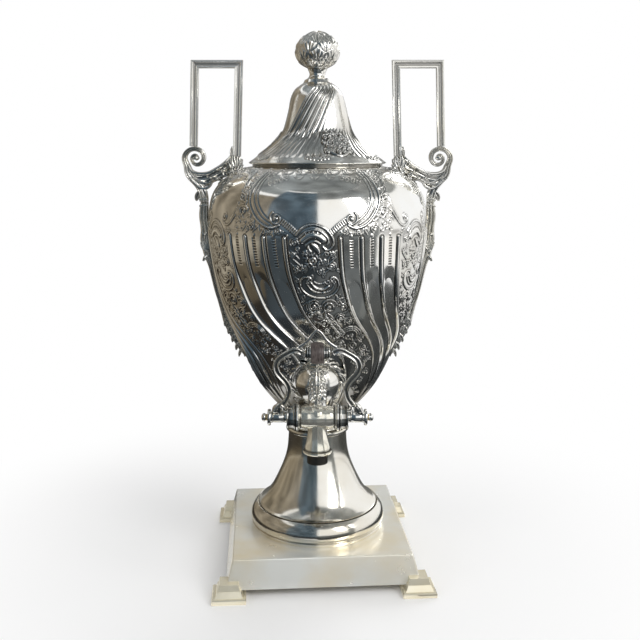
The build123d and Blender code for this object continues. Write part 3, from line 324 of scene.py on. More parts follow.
class Relief:
    """Heights over a grid of places: across (mm of arc from a panel's middle) and up (mm)."""

    def __init__(self, across, up):
        self.across, self.up = across, up
        self.height = np.zeros_like(across)

    def region(self, low, high, margin):
        """The slice of rows and the mask of points near a stroke."""
        rows = np.where((self.up[:, 0] > low[1] - margin) & (self.up[:, 0] < high[1] + margin))[0]
        if len(rows) == 0:
            return None
        part = slice(rows[0], rows[-1] + 1)
        mask = (self.across[part] > low[0] - margin) & (self.across[part] < high[0] + margin)
        return (part, mask) if mask.any() else None

    def stroke(self, points, width, height, taper=0.0):
        """A raised line along a smooth curve; taper narrows it towards its ends."""
        steps = max(6, 3 * len(points))
        line = natural_spline(points, steps * 2) if len(points) > 2 else np.linspace(*points, 8)
        found = self.region(line.min(0), line.max(0), width)
        if found is None:
            return
        part, mask = found
        x, z = self.across[part][mask], self.up[part][mask]
        share = np.linspace(0, 1, len(line))
        size = width * (1 - taper * np.abs(2 * share - 1) ** 1.5)
        best = np.full(len(x), 1e9)
        for start, run, half in zip(line[:-1], np.diff(line, axis=0), size):
            t = np.clip(((x - start[0]) * run[0] + (z - start[1]) * run[1]) / (run @ run + 1e-9), 0, 1)
            best = np.minimum(best, np.hypot(x - start[0] - t * run[0], z - start[1] - t * run[1]) / half)
        held = self.height[part]
        held[mask] = np.maximum(held[mask], height * np.clip(1 - best ** 2, 0, None) ** 0.6)

    def strokes(self, rows, side=1):
        """Strokes from rows of (points, width, height, taper), on one side or the other."""
        for points, *pen in rows:
            self.stroke(mirrored(points, side), *pen)

    def boss(self, centre, radius, height, dish=0.0):
        """A round boss, dished in its middle when asked."""
        found = self.region(np.array(centre) - radius, np.array(centre) + radius, 0)
        if found is None:
            return
        part, mask = found
        gap = np.hypot(self.across[part][mask] - centre[0], self.up[part][mask] - centre[1]) / radius
        rise = height * np.clip(1 - gap ** 2, 0, None) ** 0.6 - dish * np.clip(1 - (2.2 * gap) ** 2, 0, None)
        held = self.height[part]
        held[mask] = np.where(gap < 1, np.maximum(held[mask], rise), held[mask])


def mirrored(points, side):
    """The same points on one side or the other of a panel's middle."""
    return [(side * x, z) for x, z in points]


def ring_points(centre, radius, angles, flat=1.0):
    """Places round a centre at angles in radians; flat squeezes their heights."""
    return [(centre[0] + radius * math.cos(t), centre[1] + flat * radius * math.sin(t)) for t in angles]


def spiral(centre, radius, start, turns, shrink=0.25, steps=14):
    """Points of a volute that winds in to its centre."""
    points = []
    for i in range(steps + 1):
        t = i / steps
        points += ring_points(centre, radius * (1 - (1 - shrink) * t), [math.radians(start + 360 * turns * t)])
    return points


def leaf_spray(relief, root, angle, length, blades, spread, width, height):
    """Curled blades that fan out from a root."""
    for k in range(blades):
        share = (k - (blades - 1) / 2) / max(1, blades - 1)
        reach = length * (1 - 0.5 * abs(share))
        mid, = ring_points(root, 0.55 * reach, [math.radians(angle + spread * share)])
        tip, = ring_points(mid, 0.45 * reach, [math.radians(angle + spread * share * 2.1)])
        relief.stroke([root, mid, tip], width, height, taper=0.7)


def c_scroll(relief, points, volute, radius, start, turns, width, height):
    """A scroll band that ends in a volute."""
    relief.stroke(points, width, height)
    relief.stroke(spiral(volute, radius, start, turns), 0.8 * width, height)
    relief.boss(volute, 1.5 * width, 1.2 * height)


def flower(relief, centre, radius, petals, height):
    """A rosette of round petals about a dished boss."""
    for place in ring_points(centre, 0.62 * radius, [2 * math.pi * k / petals for k in range(petals)]):
        relief.boss(place, 0.40 * radius, height, 0.35 * height)
    relief.boss(centre, 0.36 * radius, 1.3 * height, 0.7 * height)


def spot_grid(lefts, shift, low, pitch, rows):
    """Places for fine curls in staggered rows upwards from a height."""
    return [(x + shift * (row % 2), low + pitch * row) for row in range(rows) for x in lefts]


def fine_curls(relief, spots, size, seed):
    """Small thin curls wherever the ground round a spot is still bare."""
    draw = np.random.default_rng(seed)
    for x, z in spots:
        place = (x + draw.uniform(-0.7, 0.7), z + draw.uniform(-0.7, 0.7))
        reach = size * draw.uniform(0.85, 1.15)
        found = relief.region(place, place, 0.75 * reach)
        if found is None or relief.height[found[0]][found[1]].max() > 0.12:
            continue
        turns = draw.choice((-1, 1)) * draw.uniform(0.8, 1.15)
        start = draw.uniform(0, 360)
        relief.stroke(spiral(place, reach, start, turns, 0.3, 8), 0.42, 0.6)
        back = math.radians(start)
        root, = ring_points(place, reach, [back])
        relief.stroke([root, *ring_points(root, reach, [back + 0.9])], 0.42, 0.5)


# Body: swirl flutes, ribs, punched bars and chased ornament as one height over the vase

# Each pair is a share of the way from the foot's radius to the widest, and of the body's height
BELLY_SHARES = (
    (0.0, 0.0), (0.240, 0.083), (0.460, 0.183), (0.609, 0.292), (0.756, 0.397), (0.865, 0.501),
    (0.940, 0.606), (0.989, 0.710), (1.000, 0.754),
)
# Each pair is a share of the way from the mouth's radius to the widest, and of the body's height
SHOULDER_SHARES = ((0.970, 0.837), (0.842, 0.907), (0.562, 0.959), (0.333, 0.984), (0.177, 0.994), (0.0, 1.0))
BODY_ROWS, BODY_COLUMNS = 470, 1440
INNER_ROWS, INNER_COLUMNS = 60, 96
BODY_WALL = 1.6

# Six panels with three flutes between each two: ribs in degrees from the front panel's middle, and
# those under the handle
RIB_PLACES = (13.2, 23.9, 34.7, 45.5)
SIDE_RIB_PLACES = (74.5, 84.8, 95.2)
FLUTE_SPANS = [*zip(RIB_PLACES, RIB_PLACES[1:])]
SIDE_FLUTE_SPANS = [*zip(SIDE_RIB_PLACES, SIDE_RIB_PLACES[1:])]
PANEL_PITCH = 60.0
# The front cartouche ends and the side windows begin here, in degrees
CARTOUCHE_END = 41.5
RIB_TOP, RIB_HALF_WIDTH, RIB_HEIGHT = 308.0, 1.45, 1.15
GROOVE_DEPTH, GROOVE_HALF_WIDTH, GROOVE_END = 0.35, 0.6, 250
FLUTE_START, FLUTE_FULL, FLUTE_DEPTH = 286.0, 258.0, 3.0
# Under the strap the flutes are shallow down to these heights
STRAP_FLUTE_DEPTH, STRAP_FLUTES = 1.4, (196, 235)
PUNCH_COUNT, PUNCH_TOP, PUNCH_PITCH = 11, 305.5, 2.2
PUNCH_HALF_LENGTH, PUNCH_HALF_HEIGHT, PUNCH_DEPTH = 1.7, 0.62, 0.55
# Turn of the flutes, in degrees, at heights in millimetres
SWIRL = ((133, 42.0), (150, 41.6), (170, 40.2), (185, 38.0), (200, 33.4), (210, 28.2), (220, 21.6), (230, 14.8),
         (240, 9.6), (250, 6.2), (262, 3.5), (275, 1.3), (290, 0.0), (363, 0.0))
SWIRL_CURVE = natural_spline([(z, a * 3.0) for z, a in SWIRL], 200) / (1, 3.0)


def body_outline(rows):
    """The vase's outer outline."""
    points = [(BODY_FOOT_RADIUS + u * (BODY_RADIUS - BODY_FOOT_RADIUS), BODY_BOTTOM + v * BODY_HEIGHT)
              for u, v in BELLY_SHARES]
    points += [(MOUTH_RADIUS + u * (BODY_RADIUS - MOUTH_RADIUS), BODY_BOTTOM + v * BODY_HEIGHT)
               for u, v in SHOULDER_SHARES]
    return natural_spline(points, rows)


OUTLINE_RADII, OUTLINE_HEIGHTS = body_outline(400).T


def body_radius(height):
    """The vase's outer radius at a height."""
    return float(np.interp(height, OUTLINE_HEIGHTS, OUTLINE_RADII))


def swirl_at(height):
    """How far the flutes have turned at a height, in degrees."""
    return np.interp(height, *SWIRL_CURVE.T)


def leaning(points):
    """Move points given from a panel's own middle to where the panel lies at their height."""
    return [(x + math.radians(float(swirl_at(z))) * body_radius(z), z) for x, z in points]


# Front cartouche: C-scrolls, their volutes, rope lines and a shell scroll, in mm from the panel's middle
OUTER_SCROLL = [(41.5, 358.5), (50, 351), (54.5, 343), (55.5, 335), (52, 326.5), (46, 319.5), (39.5, 315.5),
                (33, 314.8), (28, 317)]
INNER_SCROLL = [(35, 358.5), (43, 351.5), (47.2, 344), (47.6, 337), (45.4, 330.5), (41, 324.5), (35, 320)]
INNER_SCROLL_TWIN = [(38, 359), (46, 351.5), (50.4, 343.5), (51, 336), (48.4, 329), (43.5, 322.5),
                     (36.5, 317.8)]
VOLUTE = (30.3, 322.2)
ROPE = [(26.5, 321), (21.0, 317.5), (14.5, 311.5)]
ROPE_TWISTS = 8
# Strokes are points, half width, height and, where it narrows, taper
CARTOUCHE_STROKES = (
    (INNER_SCROLL, 0.62, 0.65), (INNER_SCROLL_TWIN, 0.62, 0.65),
    ([(x, z + 2.4) for x, z in ROPE], 0.45, 0.45), ([(x, z - 2.4) for x, z in ROPE], 0.45, 0.45),
)
# Curls are place across and up, radius, start and turns
CARTOUCHE_CURLS = (
    (62.5, 338, 3.6, 90, 1.3), (64.0, 349, 3.0, 200, -1.2), (60.5, 327, 3.2, 320, 1.2), (52.5, 314.6, 2.6, 60,
                                                                                         1.2),
    (38.0, 311.4, 2.4, 300, -1.2), (72.0, 343.5, 2.8, 20, 1.2), (70.5, 332, 3.0, 140, -1.2), (26.4, 312.6, 2.3,
                                                                                              230, 1.2),
)
# Window over a side panel, from its head round to its foot, and the tail to its volute
WINDOW_FRAME = [(6, 357.0), (17, 355.6), (26.5, 351), (32.4, 343.5), (34.0, 335), (31.6, 326.5), (26.4, 319.6)]
WINDOW_TAIL = [(26.4, 319.6), (22.0, 315.6), (17.0, 315.2), (13.2, 318.0)]
WINDOW_VOLUTE = (15.4, 321.6)
# Head of a panel: a shell scroll with its lines
HEAD_STROKES = (
    ([(-13.6, 309.5), (-9.8, 314.2), (-4.4, 317.2), (2.0, 317.6), (8.6, 315.0), (13.4, 310.4), (15.9, 304.6),
      (14.6, 299.6), (10.6, 297.8), (7.6, 300.2)], 0.75, 0.9),
    ([(-11.0, 307.6), (-7.0, 311.4), (-1.6, 313.6), (4.4, 313.0), (9.4, 309.4), (12.0, 304.6), (11.0, 301.6)],
     0.6, 0.75),
    ([(-8.8, 305.0), (-5.0, 308.0), (-0.4, 309.4), (4.6, 308.2), (8.0, 305.4)], 2.3, 1.15),
    ([(-6.2, 301.4), (-2.2, 304.2), (2.4, 304.4), (5.4, 302.6)], 0.6, 0.6),
    ([(-1.2, 302.6), (2.0, 299.6), (4.4, 295.8)], 1.9, 1.0, 0.6),
    ([(-4.2, 301.0), (-3.6, 298.2), (-1.6, 296.0)], 0.9, 0.7, 0.6),
)
RING_FLOWER = (-0.7, 288.6)
# Lower part of a panel, from the panel's own middle: a smile with its lines, and a long curved leaf
LOWER_STROKES = (
    ([(-4.1, 273.6), (-6.6, 275.6), (-10.4, 275.1), (-13.2, 272.1), (-14.3, 267), (-11.6, 262), (-6.4, 258.9),
      (1.0, 258.2), (8.2, 260.2), (14.2, 264.6), (16.8, 269.6), (16.4, 273.8), (13.6, 275.4), (11.2, 274.2),
      (11.8, 271.9)], 0.6, 0.95),
    ([(-8.9, 270.6), (-7.2, 266), (-1.6, 262.6), (3.7, 262.8), (10, 265.3), (13.2, 269.5)], 0.5, 0.8),
    ([(-5, 270.9), (-2.8, 266.9), (3.2, 265.6), (8.4, 268)], 1.1, 1.0, 0.4),
    ([(-2.4, 271.6), (1.4, 269.9), (6.0, 271.2)], 0.5, 0.6),
    ([(-6.0, 257.2), (-11.0, 254.6), (-13.8, 249.6), (-12.6, 245.0)], 0.55, 0.8),
)
# A flourish of four pairs of blades under the smile, each pair lower by the pitch
FLOURISH_PITCH = 4.4
PANEL_CURLS = (
    (-14.2, 303.4, 2.6, 30, 1.3), (-5.4, 294.4, 2.0, 160, -1.2), (8.4, 288.6, 2.2, 200, 1.3), (-9.4, 282.2, 2.2,
                                                                                               90, -1.3),
    (13.6, 284.4, 2.6, 250, 1.2), (4.6, 280.4, 1.9, 10, -1.2), (-15.6, 281.6, 2.2, 300, 1.1), (14.8, 293.6, 2.0,
                                                                                               100, -1.2),
    (-16.4, 294.2, 1.9, 200, 1.2), (3.2, 249.6, 4.8, 200, -1.4), (-9.6, 250.6, 4.0, 20, 1.3), (14.4, 249.4, 3.2,
                                                                                               100, -1.2),
    (-15.0, 243.2, 2.9, 60, 1.2), (6.8, 239.6, 3.4, 20, 1.3), (13.2, 236.6, 2.8, 160, -1.2), (-8.6, 235.4, 3.8,
                                                                                              150, -1.3),
    (-13.8, 228.0, 2.5, 0, 1.2), (-5.6, 224.4, 3.2, 30, 1.3), (12.8, 221.0, 2.6, 80, 1.2), (-10.6, 216.6, 2.7,
                                                                                            210, -1.2),
    (0.6, 214.6, 3.6, 120, 1.3), (8.6, 211.4, 2.9, 300, -1.2), (-6.6, 207.4, 2.9, 60, 1.2), (2.2, 203.4, 3.0,
                                                                                             190, -1.3),
    (8.0, 198.6, 2.5, 40, 1.2), (-5.4, 197.4, 2.6, 330, 1.2), (1.0, 191.6, 2.8, 100, -1.2), (5.8, 186.6, 2.1, 0,
                                                                                             1.2),
    (-4.2, 184.4, 2.2, 210, -1.2), (1.4, 178.6, 2.2, 60, 1.2), (-2.6, 171.6, 1.8, 180, -1.2), (2.4, 166.4, 1.7,
                                                                                               20, 1.2),
    (-0.8, 159.8, 1.6, 200, -1.2),
)
# Arch of three lines low on a panel: its middle and the lines' radii
ARCH, ARCH_RADII = (5.4, 225.0), (9.8, 8.0, 6.2)


def curl(relief, place, size, start, turns, width=0.5, height=0.85):
    """A volute with an eye, a bow round it and leaves off its back, placed from its panel's own middle."""
    place, = leaning([place])
    relief.stroke(spiral(place, size, start, turns, 0.16), width, height)
    relief.boss(place, 0.18 * size + 0.25, 0.8 * height)
    way = 1 if turns > 0 else -1
    bow = [math.radians(start + way * (20 + 34 * k)) for k in range(6)]
    relief.stroke(ring_points(place, 1.42 * size, bow), 0.8 * width, 0.8 * height)
    root, = ring_points(place, size, [math.radians(start)])
    leaf_spray(relief, root, start - way * 90, 1.25 * size, 3, 84, width, 0.8 * height)


def cartouche(relief):
    """The framed window over the front and back panels."""
    for side in (-1, 1):
        c_scroll(relief, mirrored(OUTER_SCROLL, side), (side * VOLUTE[0], VOLUTE[1]), 5.6,
                 90 - side * 30, side * -1.3, 0.9, 0.85)
        relief.strokes(CARTOUCHE_STROKES, side)
        for x, z in np.linspace(ROPE[0], ROPE[2], ROPE_TWISTS + 1):
            relief.stroke([(side * (x - 1.1), z + 1.5), (side * (x + 0.9), z - 1.3)], 0.62, 0.6)
        # Leaves outside the scroll
        for k, (x, z) in enumerate(natural_spline(OUTER_SCROLL, 13)[1:-2]):
            leaf_spray(relief, (side * (x + 1.8), z - 0.8), 90 - side * (60 + 9 * k), 6.2, 3, 70, 0.55, 0.55)
        for x, z, size, start, turns in CARTOUCHE_CURLS:
            curl(relief, (side * x, z), size, start if side > 0 else 180 - start, side * turns)
        leaf_spray(relief, (side * 33, 312), -90, 7.5, 5, 130, 0.55, 0.5)
        # Sprigs inside the upper corners
        for k in range(4):
            relief.stroke(spiral((side * (36.5 - 4.6 * k), 350 + 1.2 * k), 2.0, 40 * k, side * 1.1), 0.45, 0.4)
    spots = [(side * x, z) for x, z in spot_grid(np.arange(58, 74, 5.2), 2.6, 313.5, 4.7, 9) for side in (-1,
                                                                                                          1)]
    fine_curls(relief, spots, 2.0, 6)


def side_window(relief):
    """The plain window over a side panel, in a frame of scrolls and leaves."""
    for side in (-1, 1):
        relief.stroke(mirrored(WINDOW_FRAME, side), 0.75, 0.85)
        relief.stroke(mirrored([(x * 0.93 - 0.6, z + 0.9) for x, z in WINDOW_FRAME], side), 0.45, 0.5)
        for k, (x, z) in enumerate(natural_spline(WINDOW_FRAME, 12)[1:-1]):
            leaf_spray(relief, (side * (x + 1.6), z), 90 - side * (50 + 10 * k), 6.4, 3, 80, 0.5, 0.6)
        c_scroll(relief, mirrored(WINDOW_TAIL, side), (side * WINDOW_VOLUTE[0], WINDOW_VOLUTE[1]), 3.6,
                 90 - side * 30, side * -1.2, 0.7, 0.8)
    for row in range(5):
        way = (-1) ** row
        for x in (-45.5, 45.5):
            curl(relief, (x + 1.6 * way, 316 + 9.4 * row), 3.0, 70 * row, way * 1.25, 0.46, 0.8)
    outside = [x for side in (-1, 1) for x in np.sort(side * np.array([36.8, 42.0, 47.2, 52.4]))]
    spots = spot_grid(outside, 2.6, 313.5, 4.7, 9)
    fine_curls(relief, [(x, z) for x, z in spots if abs(x) > 35.5 - 0.05 * abs(z - 335) ** 1.4], 2.0, 8)


def panel(relief):
    """The ornament of one panel between its ribs, with a shell scroll at its head."""
    relief.strokes(HEAD_STROKES)
    for k in range(5):
        relief.stroke([(-7.0 + 3.4 * k, 311.6 + 0.9 * math.sin(k)), (-5.6 + 2.8 * k, 309.6)], 0.4, 0.5)
    # A small ring flower with leaves about it
    relief.stroke(ring_points(RING_FLOWER, 2.6, np.linspace(0, 2 * math.pi, 9)), 0.65, 0.85)
    relief.boss(RING_FLOWER, 1.0, 0.8)
    for turn in range(30, 390, 60):
        root, = ring_points(RING_FLOWER, 3.9, [math.radians(turn)])
        leaf_spray(relief, root, turn + 20, 4.2, 3, 76, 0.5, 0.55)
    for side in (-1, 1):
        for k in range(3):
            z = 297.0 - 5.2 * k
            relief.stroke([(side * 18.4, z), (side * 14.8, z - 3.2), (side * (11.0 - k), z - 7.2)], 0.55, 0.65,
                          0.6)
    for x, z, size, start, turns in PANEL_CURLS:
        curl(relief, (x, z), size, start, turns)
    relief.strokes([(leaning(points), *pen) for points, *pen in LOWER_STROKES])
    leaf_spray(relief, leaning([(10.6, 256.6)])[0], 10, 7.0, 5, 120, 0.6, 0.75)
    for k in range(4):
        z = -FLOURISH_PITCH * k
        relief.stroke(leaning([(-1.4 - 0.4 * k, 246.0 + z), (-3.6, 242.8 + z), (-2.4, 239.0 + z)]), 1.0, 1.0,
                      0.7)
        relief.stroke(leaning([(-1.2, 245.0 + z), (1.4, 242.6 + z), (1.6, 239.4 + z)]), 0.6, 0.8, 0.7)
    middle = (leaning([ARCH])[0][0], ARCH[1] - 1)
    for size in ARCH_RADII:
        relief.stroke(ring_points(middle, size, np.linspace(-0.3, 3.1, 9), 0.85), 0.5, 0.95)
    spots = spot_grid(np.arange(-24, 24.1, 5.0), 2.5, 206, 4.4, 22)
    spots = [(x, z) for x, z in spots if abs(x) < math.radians(12.4) * body_radius(z) - 1.4]
    fine_curls(relief, leaning(spots), 1.9, 5)
    spots = [(side * x, z) for x, z in spot_grid(np.arange(17, 26, 4.6), 2.3, 308.0, 3.8, 3) for side in (-1,
                                                                                                          1)]
    fine_curls(relief, spots, 1.7, 7)


def shoulder_band(relief):
    """A light engraved band of running scrolls and sprigs under the lid."""
    for k in range(-8, 9):
        x = 12.6 * k
        relief.stroke(spiral((x, 358.6), 2.6, 90, 1.2 if k % 2 else -1.2), 0.42, 0.5)
        relief.stroke([(x - 6, 357.4), (x - 2, 360.4), (x + 3, 356.6), (x + 6.3, 357.6)], 0.4, 0.45)
        relief.stroke([(x - 3, 355.0), (x, 353.0), (x + 3.4, 354.8)], 0.4, 0.4)


def flutes(turn, height, radius):
    """Height of ribs and flutes over the body, and of the punched bars between the ribs."""
    relief = np.zeros_like(turn)
    near = np.abs(turn)
    mm_per_degree = np.pi * radius / 180
    fade_low = smooth_step(height, 140, 175)
    deep = (1 - smooth_step(height, FLUTE_FULL, FLUTE_START)) * (0.25 + 0.75 * fade_low)
    shallow = STRAP_FLUTE_DEPTH + (FLUTE_DEPTH - STRAP_FLUTE_DEPTH) * (1 - smooth_step(height, *STRAP_FLUTES))
    for spans, depth in ((FLUTE_SPANS, FLUTE_DEPTH), (SIDE_FLUTE_SPANS, shallow)):
        for left, right in spans:
            share = (near - (left + right) / 2) / ((right - left) / 2)
            inside = (near > left) & (near < right)
            relief = np.where(inside, relief - depth * deep * (1 - np.abs(share) ** 1.7), relief)
    for place in RIB_PLACES + SIDE_RIB_PLACES[:2]:
        over = np.clip(height - RIB_TOP + RIB_HALF_WIDTH, 0, None)
        gap = np.hypot(np.abs(near - place) * mm_per_degree, over)
        rib = bump(gap, RIB_HALF_WIDTH) * RIB_HEIGHT
        groove = GROOVE_DEPTH * bump(gap - RIB_HALF_WIDTH - 0.5, GROOVE_HALF_WIDTH) * (height > GROOVE_END)
        relief = relief + rib * (0.55 + 0.45 * fade_low) - groove
    for left, right in FLUTE_SPANS + SIDE_FLUTE_SPANS:
        gap = np.abs(near - (left + right) / 2) * mm_per_degree
        for k in range(PUNCH_COUNT):
            rise = np.abs(height - (PUNCH_TOP - PUNCH_PITCH * k))
            relief -= PUNCH_DEPTH * bump(np.maximum(gap / PUNCH_HALF_LENGTH, rise / PUNCH_HALF_HEIGHT), 1.0)
        relief += 0.6 * bump(np.hypot(gap, height - 308.6), 1.2)
    return relief


def hollow_from(height, inner):
    """How much tarnish with painted shade each point gets: low places beside high ones, and all low ground."""
    blurred = height
    for axis, size in ((0, 5), (1, 7)):
        def average(line, size=size):
            return np.convolve(np.pad(line, size // 2, mode="wrap"), np.ones(size) / size, "valid")
        blurred = np.apply_along_axis(average, axis, blurred)
    return np.clip((blurred - height) * inner, 0, 1)


def places_on(outline, columns):
    """Angle in degrees, radius and height of each point of a turned outline."""
    angles = np.degrees(np.linspace(0, 2 * math.pi, columns, endpoint=False))
    return [np.broadcast_to(value, (len(outline), columns)) for value in (angles, outline[:, :1],
                                                                          outline[:, 1:])]


def skin(name, points, outer_count, faces, hollow, body, material, replaces):
    """A chased piece; only its outer points carry tarnish and painted shade."""
    piece = new_piece(name, points, faces, body, material, replaces)
    cavity_attribute(piece, np.concatenate([np.clip(hollow, 0, 1).ravel(),
                                            np.zeros(len(points) - outer_count)]))


# Above this the front's shoulder band covers the panels
SHOULDER_START = 352


def make_body():
    """The vase with its ornament, an inner face and the mouth's edge, in place of its three rings."""
    outline = body_outline(BODY_ROWS)
    angles, radius, height = places_on(outline, BODY_COLUMNS)
    turn = (angles + 90) % 180 - 90
    lean = swirl_at(height)
    arc = np.pi * radius / 180
    front = Relief((turn + lean) * arc, height)
    cartouche(front)
    panel(front)
    shoulder_band(front)
    side_turn = turn - np.where(turn > 0, PANEL_PITCH, -PANEL_PITCH)
    side = Relief((side_turn + lean) * arc, height)
    side_window(side)
    panel(side)
    near = np.abs(turn)
    high, shoulder = height > RIB_TOP + 1.5, height > SHOULDER_START
    in_front = (near < RIB_PLACES[0] - 1.0) | (high & (near < CARTOUCHE_END))
    half_side = SIDE_RIB_PLACES[0] - PANEL_PITCH - 1.0
    in_side = (np.abs(near - PANEL_PITCH) < half_side) | (high & (near >= CARTOUCHE_END))
    chased = np.where(in_front | shoulder, front.height, 0)
    chased = np.where(in_side, np.maximum(chased * shoulder, side.height), chased)
    total = flutes(turn, height, radius) + chased * smooth_step(height, 136, 160)
    # Painted dark reflection: the bare flat ground of the front and side panels is painted darker, and the body is
    # painted darker towards its foot
    ground = (0.30 * (near < RIB_PLACES[0]) + 0.20 * in_side) * (chased < 0.1) * (height < 312)
    hollow = hollow_from(total, 2.6) + ground + 0.8 * (1 - smooth_step(height, 146, 190))
    inner = [(max(r - BODY_WALL, 0.5), z + (BODY_WALL if i < 8 else 0)) for i,
             (r, z) in enumerate(outline[::6])]
    inner = natural_spline(inner[1:], INNER_ROWS)[::-1]
    # The grid's columns swirl with the flutes, so that ribs run along them
    sheared = np.radians(ORNAMENT_TURN + swirl_at(outline[:, 1]))[:, None]
    x, y, z = np.moveaxis(turned_points(outline, BODY_COLUMNS, total).reshape(BODY_ROWS, BODY_COLUMNS, 3), 2, 0)
    turned = (x * np.cos(sheared) - y * np.sin(sheared), x * np.sin(sheared) + y * np.cos(sheared), z)
    outer = np.stack(turned, axis=-1).reshape(-1, 3)
    points = np.concatenate([outer, turned_points(inner, INNER_COLUMNS)])
    faces = [grid_faces(BODY_ROWS, BODY_COLUMNS), grid_faces(INNER_ROWS, INNER_COLUMNS, start=len(outer))]
    skin("body_skin", points, len(outer), np.concatenate(faces), hollow, "urn", CHASED,
         ("body_cup", "body_shell", "body_shoulder"))


make_body()


# Lid: a bell with swirl flutes, chased panels and fine rays near the rim

# Each pair is a share of the rim's radius and of the lid's height
LID_SHARES = (
    (0.965, 0.043), (0.874, 0.101), (0.721, 0.199), (0.603, 0.299), (0.516, 0.397),
    (0.461, 0.529), (0.413, 0.694), (0.369, 0.840), (0.296, 0.937),
)
# Share of the lid's height, and where the middle of the front band of flutes lies there, in degrees
LID_SWIRL = ((0.0, -36.0), (0.20, -33.0), (0.38, -25.0), (0.52, -16.5), (0.66, -7.0), (0.76, 1.0), (0.85, 10.0),
             (0.92, 21.0), (1.0, 34.0))
LID_ROWS = 260
LID_COLUMNS = 1080
LID_CROWN = 12.0
RIM_THICKNESS = 1.6
# Three bands of five swirl flutes, half as wide as this in degrees
HALF_BAND, BAND_FLUTES = 26.0, 5
LID_COLUMNS_INSIDE = 120


def lid_cluster(arc, angles, height):
    """The curls, sprays and flower chased low on each plain panel of the lid."""
    chased = Relief((angles - 22 + 60) % 120 * arc - 60 * arc, height)
    draw = np.random.default_rng(77)
    low, high = LID_BOTTOM + 0.13 * LID_HEIGHT, LID_BOTTOM + 0.40 * LID_HEIGHT
    for row in range(5):
        z = low + (high - low) * (row + 0.5) / 5
        for k in range(-2, 3):
            if abs(k) + (row > 3) > 2:
                continue
            x = 5.0 * k + 2.5 * (row % 2)
            size = draw.uniform(1.7, 2.4)
            turns = 1.3 if (k + row) % 2 else -1.3
            chased.stroke(spiral((x, z), size, draw.uniform(0, 360), turns, 0.2), 0.5, 1.1)
            leaf_spray(chased, (x + size, z), draw.uniform(0, 360), 3.0, 3, 90, 0.5, 0.9)
    chased.stroke([(-10.5, low + 4), (-4, low - 1.0), (4, low - 1.2), (11.5, low + 3)], 0.8, 1.1)
    flower(chased, (1.5, low + 9), 3.6, 6, 1.2)
    return chased


def make_lid():
    """The lid's bell with its flutes and flowers."""
    points = [(RIM_RADIUS, LID_BOTTOM + RIM_THICKNESS)]
    points += [(u * RIM_RADIUS, LID_BOTTOM + v * LID_HEIGHT) for u, v in LID_SHARES]
    outline = natural_spline(points + [(LID_CROWN, LID_TOP)], LID_ROWS)
    angles, radius, height = places_on(outline, LID_COLUMNS)
    share = (height - LID_BOTTOM) / LID_HEIGHT
    # Between the bands of flutes are plain panels that end in flowers, and fine rays lie above the rim
    centre = np.interp(share, *np.array(LID_SWIRL).T)
    place = (angles - centre + 60) % 120 - 60
    in_flutes = np.abs(place) < HALF_BAND
    pitch = 2 * HALF_BAND / BAND_FLUTES
    wave = ((place + HALF_BAND) % pitch) / pitch
    fade = smooth_step(share, 0.22, 0.42) * (1 - smooth_step(share, 0.90, 0.97))
    flute = -1.35 * (1 - np.abs(2 * wave - 1) ** 1.8) * fade
    ridge = 0.55 * bump(np.minimum(wave, 1 - wave) * 2, 0.22) * fade
    border = -0.5 * bump(np.abs(np.abs(place) - HALF_BAND - 3.0), 1.6) * fade
    ray = ((angles - 0.9 * centre) % 6) / 6
    spray = smooth_step(share, 0.07, 0.14) * (1 - smooth_step(share, 0.30, 0.48))
    total = np.where(in_flutes, flute + ridge, 0) + border - 0.5 * (1 - np.abs(2 * ray - 1) ** 1.5) * spray
    arc = np.pi * radius / 180
    chased = lid_cluster(arc, angles, height)
    bare = chased.height <= 0
    total = np.where(bare, total, np.maximum(total * 0.3, 0) + chased.height)
    band = Relief(((angles + 30) % 60 - 30) * arc, height)
    for side in (-1, 1):
        for k in range(3):
            band.stroke(spiral((side * (3.2 + 3.0 * k), 369.0 + 0.5 * k), 1.5, 90, side * 1.2), 0.45, 0.8)
    flower(band, (0, 369.6), 2.4, 5, 0.8)
    total = total + band.height * (share < 0.2)
    plain = ~in_flutes & (share > 0.36) & (share < 0.92) & (np.abs(place) < 52)
    total = total + 0.05 * plain * np.sin(angles * 2.9 + height * 3.1) * np.sin(angles * 4.3 - height * 4.7)
    # Beside tarnish with painted shade in the hollows: painted dark reflection on the flutes, on a band low on the
    # lid and round the flower clusters
    hollow = hollow_from(total, 3.0) + 0.22 * in_flutes * fade
    hollow += 0.30 * smooth_step(share, 0.06, 0.12) * (1 - smooth_step(share, 0.34, 0.6))
    hollow += 0.3 * (bare & (np.abs(chased.across) < 12) & (share > 0.12) & (share < 0.4))
    outer = turned_points(outline, LID_COLUMNS, total)
    rim = [(RIM_RADIUS - inwards, LID_BOTTOM + up)
           for inwards, up in ((0, RIM_THICKNESS), (0, 1.0), (0.5, 0.6), (1.6, 0.2), (2.8, 0))]
    edge = [*rim, *[(r - 1.4, z - 0.3) for r, z in outline[::8]][2:-1], (3, LID_TOP - 1.6)]
    crown = [(LID_CROWN, LID_TOP), (3.0, LID_TOP)]
    points, faces = [outer], [grid_faces(LID_ROWS, LID_COLUMNS)]
    for line in (edge[::-1], crown):
        faces.append(grid_faces(len(line), LID_COLUMNS_INSIDE, start=sum(map(len, points))))
        points.append(turned_points(line, LID_COLUMNS_INSIDE))
    skin("lid_skin", np.concatenate(points), len(outer), np.concatenate(faces), hollow, "lid", CHASED,
         ("lid_shell",))


make_lid()


# Finial ball: overlapping leaves chased all over

# Each pair is a share of the ball's radius and of its height
BALL_SHARES = ((0.426, 0.0), (0.66, 0.085), (0.93, 0.26), (1.0, 0.48), (0.93, 0.66), (0.68, 0.84),
               (0.33, 0.965), (0.02, 1.0))
BALL_ROWS, BALL_COLUMNS = 200, 420
# Leaves in each row of leaves, and rows
BALL_LEAVES, BALL_TIERS = 8, 5


